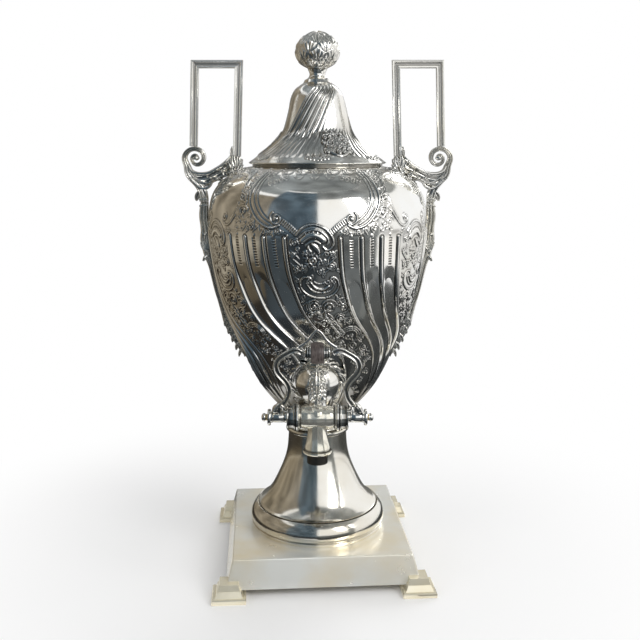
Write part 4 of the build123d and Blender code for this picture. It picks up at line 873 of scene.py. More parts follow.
def make_ball():
    """The finial's ball, with rows of veined leaves."""
    outline = natural_spline([(u * BALL_RADIUS, BALL_BOTTOM + v * (BALL_TOP - BALL_BOTTOM)) for u,
                              v in BALL_SHARES], BALL_ROWS)
    angles = np.linspace(0, 2 * math.pi, BALL_COLUMNS, endpoint=False)[None, :]
    share = np.linspace(0, 1, BALL_ROWS)[:, None]
    relief = np.zeros((BALL_ROWS, BALL_COLUMNS))
    for tier in range(BALL_TIERS):
        low = 0.02 + 0.17 * tier
        up = (share - low) / 0.32
        phase = (angles * BALL_LEAVES / (2 * math.pi) + 0.5 * (tier % 2)) % 1 - 0.5
        width = 0.56 * np.sin(np.clip(up, 0, 1) * math.pi) ** 0.55 + 1e-6
        across = np.abs(phase) / width
        inside = (up > 0) & (up < 1) & (across < 1)
        vein = 0.42 * np.cos(np.arctan2(phase * 2.4, up + 0.18) * 15) * np.sqrt(np.clip(up, 0, 1))
        leaf = 0.5 + 1.2 * up * np.sqrt(np.clip(1 - across ** 2, 0, 1)) + vein - 0.8 * bump(np.abs(phase) * 22,
                                                                                            1.0)
        relief = np.where(inside, np.maximum(relief * 0.4, leaf), relief)
    relief = (relief - 1.1) * smooth_step(share, 0, 0.05) * (1 - smooth_step(share, 0.97, 1.0)) * 0.9
    points = turned_points(outline, BALL_COLUMNS, relief - 0.5)
    piece = new_piece("ball_skin", points, grid_faces(BALL_ROWS, BALL_COLUMNS), "lid", CAST,
                      ("finial_ball",))
    # Tarnish with painted shade in the gaps and veins between the leaves
    cavity_attribute(piece, np.clip(-0.10 - 0.55 * relief, 0, 0.85))


make_ball()


# Castings: bands whose middle line lies in an upright plane, reeded on both faces, and leaves

def band_mesh(line, half_widths, half_depths, section, y=0.0):
    """Points, faces and painted shade with tarnish of a band; section gives (share of half width, share of half
    depth).
    """
    s, d = np.array(section, float).T
    run = np.gradient(line, axis=0)
    run /= np.linalg.norm(run, axis=1, keepdims=True)
    side = np.stack([-run[:, 1], run[:, 0]], axis=1)
    across = line[:, None, :] + side[:, None, :] * (half_widths[:, None] * s)[:, :, None]
    points = np.stack([across[:, :, 0], y + half_depths[:, None] * d, across[:, :, 1]], axis=-1).reshape(-1, 3)
    # Painted shade with tarnish: the thin parts of the section, between reeds and in veins, are painted dark
    sunk = np.clip((0.82 - np.abs(d)) * 2.4, 0, 0.9) * (np.abs(s) < 0.86)
    return points, tube_faces(len(line), len(section)), np.tile(sunk, len(line))


def reeded_section(reeds, dip, steps=6):
    """A closed section with rounded edges and so many reeds on both faces, dipping between them."""
    front = []
    for s in np.linspace(-1, 1, reeds * steps + 1):
        reed = abs(math.cos(math.pi * reeds * (s + 1) / 2 + (math.pi / 2))) if reeds > 1 else 1.0
        front.append((s, (1 - dip + dip * reed ** 0.7) * max(0.0, 1 - abs(s) ** 5) ** 0.5))
    return [(s, -d) for s, d in front] + front[::-1][1:-1]


def both_faces(half):
    """A closed section from the upper half of it."""
    return [(s, -d) for s, d in half] + half[::-1]


ROUND_SECTION = reeded_section(1, 0.0, 10)
TWO_REEDS = reeded_section(2, 0.62, 7)
THREE_REEDS = reeded_section(3, 0.5, 6)
# Raised edges and a sunken vein
VEINED_SECTION = [(-1, 0), (-0.72, -0.95), (-0.35, -0.8), (0, -0.28), (0.35, -0.8), (0.72, -0.95),
                  (1, 0), (0.72, 0.95), (0.35, 0.8), (0, 0.28), (-0.35, 0.8), (-0.72, 0.95)]


class Casting:
    """Gathers the bands and blades of one casting into one mesh."""

    def __init__(self, mirror=1, y=0.0):
        self.points, self.faces, self.sunk, self.count = [], [], [], 0
        self.mirror, self.y = mirror, y

    def add(self, points, faces, sunk=None):
        """Take in a part's points and faces, mirrored for the left hand."""
        points = np.array(points, float)
        self.sunk.append(np.zeros(len(points)) if sunk is None else sunk)
        points[:, 0] *= self.mirror
        self.points.append(points)
        self.faces += [tuple(i + self.count for i in f[::self.mirror]) for f in faces]
        self.count += len(points)

    def band(self, line, widths, depths, section=ROUND_SECTION, steps=40):
        """A band along a smooth line; widths and depths are given at evenly spread stations."""
        place = np.linspace(0, 1, steps)
        halves = [np.interp(place, np.linspace(0, 1, len(sizes)), sizes) / 2 for sizes in (widths, depths)]
        self.add(*band_mesh(natural_spline(line, steps), *halves, section, self.y))

    def leaf(self, root, tip, width, depth, lift, bend=0.0, steps=14):
        """A pointed leaf blade from root to tip, standing lift out of the plane on both faces."""
        root, tip = np.array(root, float), np.array(tip, float)
        run = tip - root
        side = np.array([-run[1], run[0]]) / (np.linalg.norm(run) + 1e-9)
        line = natural_spline([root, (root + tip) / 2 + side * bend, tip], steps)
        share = np.linspace(0, 1, steps)
        half_widths = width / 2 * np.sin(math.pi * (0.12 + 0.86 * share)) ** 0.7 + 0.12
        half_depths = depth / 2 * (1 - 0.45 * share)
        for sign in (-1, 1):
            self.add(*band_mesh(line, half_widths, half_depths, VEINED_SECTION, self.y + sign * lift))

    def piece(self, name, body, material, *replaces, flat=False):
        """Make the mesh piece; closed ends are flat, and everything is when asked."""
        made = new_piece(name, np.concatenate(self.points), self.faces, body, material,
                         replaces)
        smooth = [not flat and len(p.vertices) == 4 for p in made.data.polygons]
        made.data.polygons.foreach_set("use_smooth", smooth)
        cavity_attribute(made, np.concatenate(self.sunk))


# Handles: loop, bracket and strap on each side, drawn on the right as (out, up) in millimetres

LOOP_TOP = top_of("handle_loop_right")
LOOP_OUTER = 111.4
LOOP_INNER = 65.4
LOOP_LEAN = math.tan(math.radians(1.9))
BAR_WIDTH = 7.2
BAR_DEPTH = 5.4
EYE = (108.1, 370.1)
# Turns round the eye from its outer side, radius of the band's middle line, and its width
VOLUTE_STATIONS = ((-0.12, 11.5, 7.2), (0.0, 10.5, 6.8), (0.125, 9.0, 5.8), (0.25, 7.6, 5.0), (0.375, 6.9, 4.6),
                   (0.5, 6.6, 4.3),
                   (0.625, 6.5, 4.4), (0.75, 6.3, 4.6), (0.875, 5.2, 4.2), (1.0, 3.9, 3.8), (1.125, 2.9,
                                                                                             3.2), (1.25, 2.0,
                                                                                                    2.8), (1.4,
                                                                                                           1.2, 2.4))
# Each pair is a share of the body's height and of the strap's thickness, as on the solid
STRAP_THICKNESS = 8.6
STRAP_SHARES = (
    (0.862, 0.83), (0.790, 1.00), (0.735, 0.92), (0.715, 1.10), (0.690, 1.06), (0.655, 0.94), (0.625, 0.72),
    (0.600, 0.66), (0.490, 0.66), (0.410, 0.68), (0.385, 0.88), (0.345, 0.98), (0.305, 0.82), (0.275, 0.76),
    (0.250, 0.42), (0.238, 0.14),
)
# Loop bar: two rounded reeds with a deep channel between them on each face, flat outer sides
LOOP_SECTION = both_faces([(-1, 0.35), (-0.96, 0.78), (-0.80, 1.0), (-0.55, 0.97), (-0.36, 0.72), (-0.24, 0.40),
                           (-0.08, 0.30), (0.08, 0.30), (0.24, 0.40), (0.36, 0.72), (0.55, 0.97), (0.80, 1.0),
                           (0.96, 0.78), (1, 0.35)])
# Bands of a bracket: line, widths, depths, section and steps
BRACKET_BANDS = (
    # Broad arm from the volute in to the foot of the loop's inner bar, a bright reed along its upper edge
    ([(113.4, 357.0), (108.6, 351.6), (102.4, 350.6), (95.5, 352.8), (87.9, 356.6), (81.6, 360.2),
      (76.4, 364.4),
      (70.8, 369.2)],
     [3.0, 9.0, 13.0, 11.0, 11.6, 12.6, 13.0, 9.0], [8.6, 9.2, 9.8, 10.2, 10.6, 11.4, 12.2,
                                                     12.0], THREE_REEDS, 90),
    ([(114.6, 363.4), (112.6, 358.8), (108.4, 356.4), (102.4, 355.8), (95.5, 357.2), (88.2, 361.2),
      (81.8, 366.0),
      (77.0, 372.0)],
     [1.8, 2.4, 2.8, 3.0, 3.0, 2.8, 2.4, 1.6], [10.6, 11.6, 12.2, 12.4, 12.4, 12.2, 12.0,
                                                9.0], ROUND_SECTION, 60),
    # Webs and curls under the arm
    ([(112.8, 351.4), (107.4, 345.4), (101.4, 342.6), (96.6, 344.8), (94.2, 349.0)], [1.4, 2.6, 3.0, 2.6, 1.2],
     [11.4]),
    ([(110.6, 353.4), (104.8, 349.4), (98.8, 347.6), (93.4, 350.0)], [1.4, 2.2, 2.2, 1.2], [12.0]),
    ([(98.6, 352.8), (92.6, 352.0), (86.4, 350.4), (83.6, 346.8), (86.2, 344.6), (88.2, 346.8), (86.6, 348.4)],
     [1.8, 3.2, 4.2, 3.6, 2.8, 2.2, 1.4], [11.8], TWO_REEDS, 44),
    ([(90.0, 358.6), (84.6, 357.6), (79.6, 357.2), (76.8, 360.4), (79.2, 363.6), (82.6, 362.2), (81.8, 359.8)],
     [1.6, 2.6, 3.0, 2.8, 2.4, 2.2, 1.4], [13.6], TWO_REEDS, 44),
)
# Compact leaf cluster at the bar's foot and on the shoulder: root, tip and width
BRACKET_FAN = (
    ((70, 362), (67.2, 368.4), 4.2), ((71, 362), (70.6, 371.6), 4.2), ((73, 362), (74.2, 372.0), 4.2),
    ((75, 361), (77.4, 369.4), 4.0), ((70, 360), (66.6, 363.4), 3.8), ((72, 359), (68.8, 358.8), 3.6),
    ((75, 357.4), (72.6, 362.6), 3.8), ((78, 356), (75.4, 359.8), 3.6), ((80, 354.6), (83.8, 357.2), 3.4),
    ((76, 361), (79.6, 366.4), 3.4),
)
# Prongs that clasp the bar, and the leaf tips at the strap's head: root, tip, width, depth, lift and bend
BRACKET_LEAVES = (
    ((76.6, 369.6), (76.0, 379.9), 2.2, 4.6, 1.4, -0.6), ((74.2, 370.6), (73.2, 380.6), 2.4, 4.6, 1.4, -0.6),
    ((104.6, 340.4), (108.8, 331.4), 4.6, 4.0, 1.6, 1.0), ((103.6, 343.6), (100.2, 334.4), 4.4, 3.0, 3.6, -0.6),
)
# Band up to the volute: place and width
BRACKET_STEM = (((101.9, 330.9), 8.2), ((102.6, 338.0), 8.4), ((105.6, 344.6), 8.0), ((110.6, 350.4), 7.6),
                ((115.0, 355.6), 7.4))


def make_loop(casting):
    """The square loop: two reeds on each face, mitred at the corners."""
    half = BAR_WIDTH / 2
    top = LOOP_TOP - half
    corners = ((LOOP_OUTER, -half, 380.0), (LOOP_OUTER, -half, top), (LOOP_INNER, half, top),
               (LOOP_INNER, half, 371.0))
    path = np.array([(edge + (LOOP_TOP - z) * LOOP_LEAN + inwards, z) for edge, inwards, z in corners])
    runs = np.diff(path, axis=0)
    runs /= np.linalg.norm(runs, axis=1, keepdims=True)
    sides = np.stack([-runs[:, 1], runs[:, 0]], axis=1)
    mitres = [sides[0], *[(a + b) / (1 + a @ b) for a, b in zip(sides, sides[1:])], sides[-1]]
    points = []
    for place, mitre in zip(path, mitres):
        for s, d in LOOP_SECTION:
            x, z = place + mitre * s * half
            points.append((x, d * BAR_DEPTH / 2, z))
    s, d = np.array(LOOP_SECTION).T
    # Painted shade with tarnish: the channel between the reeds is painted dark
    sunk = np.clip((0.8 - np.abs(d)) * 1.1, 0, 0.5) * (np.abs(s) < 0.5)
    casting.add(points, tube_faces(len(path), len(LOOP_SECTION)), np.tile(sunk, len(path)))


def make_bracket(casting):
    """Volute, arm, acanthus and prongs of one handle bracket."""
    scroll = [ring_points(EYE, r, [2 * math.pi * t])[0] for t, r, _ in VOLUTE_STATIONS]
    casting.band([p for p, _ in BRACKET_STEM] + scroll,
                 [w for _, w in BRACKET_STEM] + [w for _, _, w in VOLUTE_STATIONS],
                 [9.4] * 5 + [9.2 - 0.2 * k for k in range(len(scroll))], THREE_REEDS, 190)
    eye = [(EYE[0] + x, EYE[1] + z) for x, z in ((-2.2, 0.2), (0, -0.4), (2.2, -0.6))]
    casting.band(eye, [2.8, 4.8, 2.8], [7.4, 9.0, 7.4], ROUND_SECTION, 16)
    for row in BRACKET_BANDS:
        casting.band(*row)
    for k, (root, tip, width) in enumerate(BRACKET_FAN):
        casting.leaf(root, tip, width, 3.8, 5.4 + 0.5 * (k % 3), 0.8 if k % 2 else -0.8)
    for row in BRACKET_LEAVES:
        casting.leaf(*row)


# Above this the strap stands on the shoulder's ring
STRAP_HEAD = 312
STRAP_DEPTHS = [9.0, 9.0, 9.2, 9.8, 9.4, 9.0, 8.6, 8.2, 8.0, 8.0, 8.4, 9.0, 9.0, 8.0, 6.4, 3.0]


def make_strap(casting):
    """The strap from the bracket down the body's side, with a shell and a leaf drop."""
    line, widths = [], []
    for z_share, t_share in STRAP_SHARES:
        z = BODY_BOTTOM + z_share * BODY_HEIGHT
        side = body_radius(z)
        outer, inner = side + t_share * STRAP_THICKNESS, side - 1.0
        if z > STRAP_HEAD:
            outer, inner = 97.9 + t_share * STRAP_THICKNESS, 97.6
        line.append(((outer + inner) / 2, z))
        widths.append((outer - inner) * 0.98)
    casting.band(line, widths, STRAP_DEPTHS, THREE_REEDS, 120)
    # Shell: ribs that fan out on both faces
    for k in range(-3, 4):
        angle = math.radians(90 + 26 * k)
        tip = (100.6 + 6.6 * math.cos(angle) * 0.72, 292.6 + 9.4 * math.sin(angle))
        casting.leaf((101.0, 286.4), tip, 3.2, 3.2, 3.6)
    casting.band([(99.6, 303.6), (101.8, 301.4), (104.4, 303.8)], [2.0, 3.0, 2.0], [8.8, 10.4, 8.8])
    casting.band([(99.4, 282.6), (101.6, 280.6), (103.4, 277.4)], [2.4, 3.6, 2.0], [8.6, 10.0, 8.2])
    for z in (333.0, 327.4):
        casting.band([(98.4, z), (101.8, z + 0.4), (105.8, z - 0.6)], [1.8, 2.2, 1.8], [9.4, 9.8, 9.4])
    # Leaf drop over the lower end
    for z, width in ((222.0, 5.0), (214.6, 5.6), (207.0, 5.6), (199.6, 5.0), (193.4, 3.8)):
        side = body_radius(z)
        for way in (-1, 1):
            tip = (side + 3.4 + 2.6 * way, z - 4.6)
            casting.leaf((side + 2.6, z + 3.4), tip, width * 0.72, 3.4, 3.0, 0.8 * way)


HANDS = (("right", 1), ("left", -1))
for hand, sign in HANDS:
    for part, make, material in (("loop", make_loop, LOOP_SILVER), ("bracket", make_bracket, CAST_PLAIN),
                                 ("strap", make_strap, CAST_PLAIN)):
        casting = Casting(sign)
        make(casting)
        casting.piece(part + "_" + hand, "urn", material, "handle_" + part + "_" + hand, flat=part == "loop")


# Tap key: yoke arms with raised edges, and the crest over the grip

_, TAP_Y, TAP_Z = sum(low_high("tap_plug")) / 2
LEVER_HALF_SPAN = 33.2
LEVER_HEIGHT = 53.0
ARM_DEPTH = 4.0
# Each pair is a share of the lever's half span and of its height, as on the solid
ARM_SHARES = ((0.918, 0.150), (0.735, 0.300), (0.705, 0.465), (0.860, 0.615), (1.000, 0.750), (0.950, 0.890),
              (0.750, 0.985), (0.500, 1.040), (0.376, 1.0))
CREST_SHARES = ((1.0, 0.22), (0.78, 0.33), (0.42, 0.58), (0.12, 0.88), (0.0, 0.94))
CREST_HALF = 15.6
CREST_HEIGHT = 20.0
# An arm's section: raised rounded edges with a flat channel between them
EDGED_SECTION = both_faces([(-1, 0.3), (-0.95, 0.8), (-0.78, 1.0), (-0.56, 0.92), (-0.44, 0.66), (-0.2, 0.56),
              (0.2, 0.56), (0.44, 0.66), (0.56, 0.92), (0.78, 1.0), (0.95, 0.8), (1, 0.3)])

for hand, sign in HANDS:
    arm = Casting(sign, TAP_Y)
    line = [(u * LEVER_HALF_SPAN, TAP_Z + v * LEVER_HEIGHT) for u, v in ARM_SHARES]
    arm.band(line, [5.6, 4.6, 4.6, 5.0, 5.2, 4.9, 4.8, 4.7, 4.4], [ARM_DEPTH] * 9, EDGED_SECTION, 90)
    foot_x, foot_z = line[0]
    arm.band([(foot_x - 1.6, foot_z + 3.4), (foot_x + 0.6, foot_z - 0.4), (foot_x + 1.4, foot_z - 3.8)],
             [4.6, 8.0, 10.6], [4.2, 6.4, 6.8], EDGED_SECTION, 16)
    arm.leaf((foot_x - 0.6, foot_z + 2.4), (foot_x - 4.8, foot_z - 2.6), 3.6, 3.0, 1.6)
    arm.leaf((foot_x + 1.0, foot_z + 2.0), (foot_x + 6.0, foot_z - 2.0), 3.6, 3.0, 1.6)
    arm.piece("arm_" + hand, "tap_key", CAST_PLAIN, "lever_arm_" + hand)

# Outlines across the tap, as (radius, distance out from the middle)
CAP_LINE = [(8.6, 15.2), (10.9, 15.3), (11.4, 15.9), (11.4, 17.0), (10.7, 17.5), (10.2, 17.7), (10.7, 18.0),
            (10.7, 18.7), (10.0, 19.0),
            (9.5, 19.4), (9.4, 23.2), (9.7, 23.6), (9.7, 24.3), (9.2, 24.6), (4.4, 24.6)]
SLEEVE_LINE = [(4.3, 25.0), (4.3, 26.4), (3.8, 26.9), (4.1, 27.4), (4.1, 35.4), (3.8, 35.9), (4.3, 36.4),
               (4.3, 37.6)]
DISC_LINE = [(4.0, 37.6), (6.2, 37.7), (6.6, 38.3), (6.6, 39.5), (6.1, 40.2), (3.4, 40.4)]
KNOB_LINE = [(2.2, 40.4), (1.9, 41.2), (2.6, 41.7), (3.2, 42.5), (3.3, 43.3), (2.9, 44.2), (2.0, 44.9),
             (0.9, 45.2)]
FERRULE_LINE = [(5.4, 5.2), (6.1, 5.5), (6.1, 6.2), (5.0, 6.7), (5.0, 7.0), (5.9, 7.4), (5.9, 8.0), (4.7, 8.5),
                (4.7, 8.8), (5.2, 9.2),
                (4.9, 9.8), (3.4, 10.2)]
GRIP_Z = TAP_Z + LEVER_HEIGHT
for hand, sign in HANDS:
    for part, line, body, height in (
        ("tap_cap", CAP_LINE, "urn", TAP_Z), ("key_sleeve", SLEEVE_LINE, "tap_key", TAP_Z), ("key_disc",
                                                                                             DISC_LINE, "tap_key", TAP_Z),
        ("key_knob", KNOB_LINE, "tap_key", TAP_Z), ("grip_ferrule", FERRULE_LINE, "tap_key", GRIP_Z),
    ):
        node = part + "_" + hand
        outline = [(r, sign * x) for r, x in line]
        # Tarnish with painted shade in each groove of the outline
        grooves = [(x, 0.5) for (r, x), before, after in zip(outline[1:-1], outline, outline[2:])
                   if r < before[0] and r <= after[0]]
        lathe(node + "_turned", outline if sign > 0 else outline[::-1], body, TURNED, (node,), 72,
              (0, TAP_Y, height), "x", dark=grooves)

BARREL_LINE = [(8.6, -15.4), (10.0, -15.2), (10.0, -14.2), (8.7, -13.6), (8.8, -11), (9.2, -6), (9.3, 0),
               (9.2, 6), (8.8, 11), (8.7, 13.6),
               (10.0, 14.2), (10.0, 15.2), (8.6, 15.4)]
# Tarnish with painted shade at the barrel's end rings
lathe("tap_barrel", natural_spline(BARREL_LINE, 70), "urn", SPOUT, ("tap_body",), 96, (0, TAP_Y, TAP_Z), "x",
      dark=((-13.6, 0.7), (13.6, 0.7)))
SPOUT_LINE = [(5.4, -29.3), (11.4, -29.2), (12.0, -28.2), (11.6, -26.9), (10.5, -26.3), (10.2, -24.6),
              (9.2, -20.5), (8.2, -14.5), (7.6, -8.0),
              (8.0, -2.0), (8.9, 3.2), (7.0, 7.2), (3.6, 9.6), (0.4, 10.2)]
# Tarnish with painted shade under the spout's lip
lathe("tap_spout", SPOUT_LINE[:5] + [tuple(p) for p in natural_spline(SPOUT_LINE[5:], 40)], "urn", SPOUT, (),
      96,
      (0, TAP_Y, TAP_Z), dark=((-26.4, 0.6),))

crest = Casting(1, TAP_Y)
for sign in (-1, 1):
    line = [(sign * u * CREST_HALF, GRIP_Z + v * CREST_HEIGHT) for u, v in CREST_SHARES]
    crest.band(line, [3.0, 2.6, 2.5, 2.4, 2.2], [3.2] * 5, ROUND_SECTION, 40)
crest.piece("crest", "tap_key", CAST_PLAIN, "lever_crest")


# Tap root: leaf casting on the dome and neck, and crescents on the rose

NECK_SLOPE = math.radians(25.0)
NECK_LENGTH = 44.0
DOME_RADIUS = 19.0
NECK_RADIUS = 7.5
# Where the dome passes into the neck, and how far out the leaf lies there
DOME_END, LEAF_RADIUS = math.asin(0.92) + 0.12, NECK_RADIUS + 1.2
RIGHT_DIR = np.array([1.0, 0.0, 0.0])
ROOT = np.array([0.0, TAP_Y + NECK_LENGTH * math.cos(NECK_SLOPE), TAP_Z + NECK_LENGTH * math.sin(NECK_SLOPE)])
NECK_DIR = np.array([0.0, math.cos(NECK_SLOPE), math.sin(NECK_SLOPE)])
UP_DIR = np.array([0.0, -math.sin(NECK_SLOPE), math.cos(NECK_SLOPE)])


def blade_on(surface, start, end, width, thickness, bend=0.0, steps=16):
    """A veined leaf laid on a surface given by two numbers; bend bows its middle line sideways."""
    run = np.array(end, float) - np.array(start, float)
    side = np.array([-run[1], run[0]]) / np.linalg.norm(run)
    profile = [(-1, 0.0), (-0.7, 0.85), (-0.35, 0.8), (0, 0.35), (0.35, 0.8), (0.7, 0.85), (1, 0.0),
               (0.5, -0.5),
               (-0.5, -0.5)]
    points = []
    for t in np.linspace(0, 1, steps):
        spread = width / 2 * math.sin(math.pi * (0.08 + 0.90 * t)) ** 0.75
        middle = np.array(start) + run * t + side * bend * math.sin(math.pi * t)
        for s, h in profile:
            points.append(surface(*(middle + side * s * spread), h * thickness))
    return points, tube_faces(steps, len(profile))


def on_dome(across, down, lift):
    """A place on the dome or, past it, on the neck: across and down are millimetres of arc."""
    angle = down / DOME_RADIUS
    if angle < DOME_END:
        turn, radius = across / DOME_RADIUS, DOME_RADIUS + lift
        along, ring = radius * math.sin(angle) * math.cos(turn), radius * math.cos(angle) * math.cos(turn)
    else:
        turn, radius = across / LEAF_RADIUS, LEAF_RADIUS + lift
        along, ring = DOME_RADIUS * 0.97 + down - DOME_END * DOME_RADIUS, radius * math.cos(turn)
    return ROOT - NECK_DIR * along + UP_DIR * ring + RIGHT_DIR * radius * math.sin(turn)


NECK_COLUMNS = 48
neck_points = []
for along, r in ((0.0, 7.4), (0.15, 7.8), (0.3, 7.5), (0.45, 7.5), (0.6, 8.0), (0.9, 8.6)):
    for a in np.linspace(0, 2 * math.pi, NECK_COLUMNS, endpoint=False):
        spread = UP_DIR * math.cos(a) - RIGHT_DIR * math.sin(a)
        neck_points.append(ROOT - NECK_DIR * NECK_LENGTH * (1 - along) + r * spread)
neck = Casting()
neck.add(neck_points, grid_faces(6, NECK_COLUMNS))
neck.piece("tap_neck", "urn", CAST_PLAIN)

leaf = Casting()
leaf.add(*blade_on(on_dome, (0, 3.0), (0, 38.0), 5.2, 2.6, steps=40))
for k in range(6):
    low = 6.0 + 5.2 * k
    reach = 7.4 - 0.5 * abs(k - 3)
    for sign in (-1, 1):
        leaf.add(*blade_on(on_dome, (sign * 0.6, low), (sign * reach, low + 5.4), 4.6, 2.0, sign * -0.9))
        leaf.add(*blade_on(on_dome, (sign * 0.8, low + 2.4), (sign * (reach - 2.2), low + 1.0), 3.4, 2.5,
                           sign * 0.7))
leaf.piece("neck_leaf", "urn", CAST_PLAIN, "tap_leaf")


def on_rose(angle, radius, lift):
    """A place on the rose: degrees round the neck's axis and distance from it, over the body."""
    spread = RIGHT_DIR * math.sin(math.radians(angle)) + UP_DIR * math.cos(math.radians(angle))
    place = ROOT + spread * radius
    side = body_radius(place[2])
    y = -math.sqrt(max(side ** 2 - place[0] ** 2, 1.0))
    out = np.array([place[0] / side, y / side, -0.45])
    return np.array([place[0], y, place[2]]) + out / np.linalg.norm(out) * (1.6 + lift)


rose = Casting()
for start in range(15, 375, 30):
    rose.add(*blade_on(on_rose, (start - 14, 20.0), (start + 15, 22.0), 4.2, 2.0, 1.4, 14))
rose.piece("rose_leaves", "urn", CAST_PLAIN)


# Pedestal and base ring, with the incised line between them; collar

FOOT_RADIUS = 54.7
NECK_FOOT_RADIUS = 26.6
# Each pair is a share of the way from the trumpet's neck to its foot, and of its height
TRUMPET_SHARES = ((0.72, 0.11), (0.40, 0.33), (0.17, 0.55), (0.065, 0.70), (0.02, 0.85), (0.0, 1.0))
TRUMPET_TOP = PEDESTAL_TOP - 4.0
trumpet = [(FOOT_RADIUS, RING_TOP)]


def raised_line(line, height):
    """An outline's points, moved up."""
    return [(r, z + height) for r, z in line]


trumpet = [(FOOT_RADIUS, RING_TOP)]
trumpet += [(NECK_FOOT_RADIUS + u * (FOOT_RADIUS - NECK_FOOT_RADIUS), RING_TOP + v * (TRUMPET_TOP - RING_TOP))
            for u, v in TRUMPET_SHARES]
trumpet = [tuple(p) for p in natural_spline(trumpet, 90)]
foot = [(FOOT_RADIUS - 2.4, RING_TOP + 0.1), (FOOT_RADIUS, RING_TOP + 0.1), (FOOT_RADIUS + 0.1, RING_TOP + 0.7)]
CUSHION = ((28.2, 0.1), (28.9, 0.8), (29.0, 2.0), (28.7, 3.2), (27.6, 4.0), (3.2, 4.0), (3.2, 0.0))
inside = [(NECK_FOOT_RADIUS - 2.2, TRUMPET_TOP)] + [(r - 2.2, z) for r, z in trumpet[::-6]][1:-1]
lathe("pedestal_turned", foot + trumpet[3:] + raised_line(CUSHION, TRUMPET_TOP) + inside, "urn", WARM_TURNED,
      ("pedestal",), 192, loop=True)
OVOLO = ((60.3, 3.0), (61.6, 5.0), (62.2, 7.8), (61.7, 11.6), (60.0, 15.4), (57.6, 18.4), (56.2, 19.8))
RING_LINE = [(58.9, 0.05), (61.2, 0.05), (61.3, 0.5), (61.3, 2.5), (60.9, 2.9), *natural_spline(OVOLO, 40),
             (55.4, 19.0), (54.4, 18.6), (51.0, 18.6), (51.0, 17.0), (57.0, 8.0)]
lathe("base_ring_turned", raised_line(RING_LINE, PLINTH_TOP), "urn", WARM_TURNED, ("base_ring",), 192,
      loop=True)
COLLAR = ((3.2, 0), (24.4, 0), (26.6, 0.8), (28.6, 2.3), (29.5, 4.5), (28.6, 6.7), (26.6, 8.2), (24.4, 9.0),
          (3.2, 9.0))
# Tarnish with painted shade along the collar's lower and upper edges, where it meets the pedestal and the body
lathe("collar_turned", raised_line(COLLAR, PEDESTAL_TOP), "urn", TURNED, ("body_collar",), 144, loop=True,
      dark=((PEDESTAL_TOP + 0.4, 1.2), (PEDESTAL_TOP + 8.6, 1.2)))


# CAD nodes that keep their shape get the finish of their slot
FINISHES = {
    "polished_silver": SILVER, "satin_silver": SATIN, "warm_silver": FEET, "brass": BRASS,
    "dark_bronze": BRONZE, "horn": HORN, "fibre": FIBRE,
}
CAST_NODES = ("tap_", "handle_", "lever_arm", "lever_crest", "key_", "grip_ferrule", "spout")
slots = {row["node"]: row["material_slot"] for row in frame["record"]["subparts"]}
for name, node in frame["nodes"].items():
    finish = FINISHES[slots[name]]
    if finish is SILVER and name.startswith(CAST_NODES):
        finish = CAST_PLAIN
    # The mouth ring gets the dark silver as painted shade under the lid's rim
    if name == "mouth_ring":
        finish = SHADED
    node.data.materials.clear()
    node.data.materials.append(finish)
    for polygon in node.data.polygons:
        polygon.use_smooth = True


# Stage: floor, flags that shape the reflections, soft lamps and the camera

# The floor is plain within the first distance and past the second the white of the background, in metres
FLOOR_FADE = (0.10, 0.45)
WHITE = (1, 1, 1, 1)


def joined(nodes, links, kind, operation, *sockets):
    """The first output of a math node over one or two sockets."""
    node = nodes.new(kind)
    node.operation = operation
    for socket, entry in zip(sockets, node.inputs):
        links.new(socket, entry)
    return node


def blended(nodes, links, share, first, second, output):
    """Two shaders mixed by a share, into an output."""
    mix = nodes.new("ShaderNodeMixShader")
    for socket, entry in zip((share, first, second), mix.inputs):
        links.new(socket, entry)
    links.new(mix.outputs[0], output)


def glowing(nodes, kind, strength):
    """A white background or emission."""
    node = nodes.new(kind)
    node.inputs["Color"].default_value = WHITE
    node.inputs["Strength"].default_value = strength
    return node.outputs[0]


def make_world():
    """A white studio: white to the camera and in reflections, softer for the rest of the light."""
    world = bpy.data.worlds.new("studio")
    bpy.context.scene.world = world
    world.use_nodes = True
    nodes, links = world.node_tree.nodes, world.node_tree.links
    nodes.clear()
    output = nodes.new("ShaderNodeOutputWorld")
    seen = nodes.new("ShaderNodeLightPath").outputs
    either = joined(nodes, links, "ShaderNodeMath", "MAXIMUM", seen["Is Camera Ray"], seen["Is Glossy Ray"])
    share = joined(nodes, links, "ShaderNodeMath", "MAXIMUM", either.outputs[0], seen["Is Transmission Ray"])
    soft, white = glowing(nodes, "ShaderNodeBackground", 0.55), glowing(nodes, "ShaderNodeBackground", 1.0)
    blended(nodes, links, share.outputs[0], soft, white, output.inputs["Surface"])


def make_floor():
    """A pale floor that keeps the urn's shadow."""
    mesh = bpy.data.meshes.new("floor")
    size = 6.0
    mesh.from_pydata([(-size, -size, 0), (size, -size, 0), (size, size, 0), (-size, size, 0)], [],
                     [(0, 1, 2, 3)])
    floor = bpy.data.objects.new("floor", mesh)
    bpy.context.scene.collection.objects.link(floor)
    material, nodes, links, shader = material_nodes("floor")
    shader.inputs["Base Color"].default_value = (0.93, 0.93, 0.93, 1)
    shader.inputs["Roughness"].default_value = 0.9
    shader.inputs["Specular IOR Level"].default_value = 0.1
    place = nodes.new("ShaderNodeTexCoord").outputs["Object"]
    reach = joined(nodes, links, "ShaderNodeVectorMath", "LENGTH", place)
    fade = nodes.new("ShaderNodeMapRange")
    fade.interpolation_type = "SMOOTHSTEP"
    fade.inputs["From Min"].default_value, fade.inputs["From Max"].default_value = FLOOR_FADE
    links.new(reach.outputs["Value"], fade.inputs["Value"])
    white = glowing(nodes, "ShaderNodeEmission", 1.0)
    seen = nodes.new("ShaderNodeLightPath").outputs["Is Camera Ray"]
    share = joined(nodes, links, "ShaderNodeMath", "MULTIPLY", seen, fade.outputs["Result"])
    blended(nodes, links, share.outputs[0], shader.outputs[0], white,
            nodes["Material Output"].inputs["Surface"])
    mesh.materials.append(material)


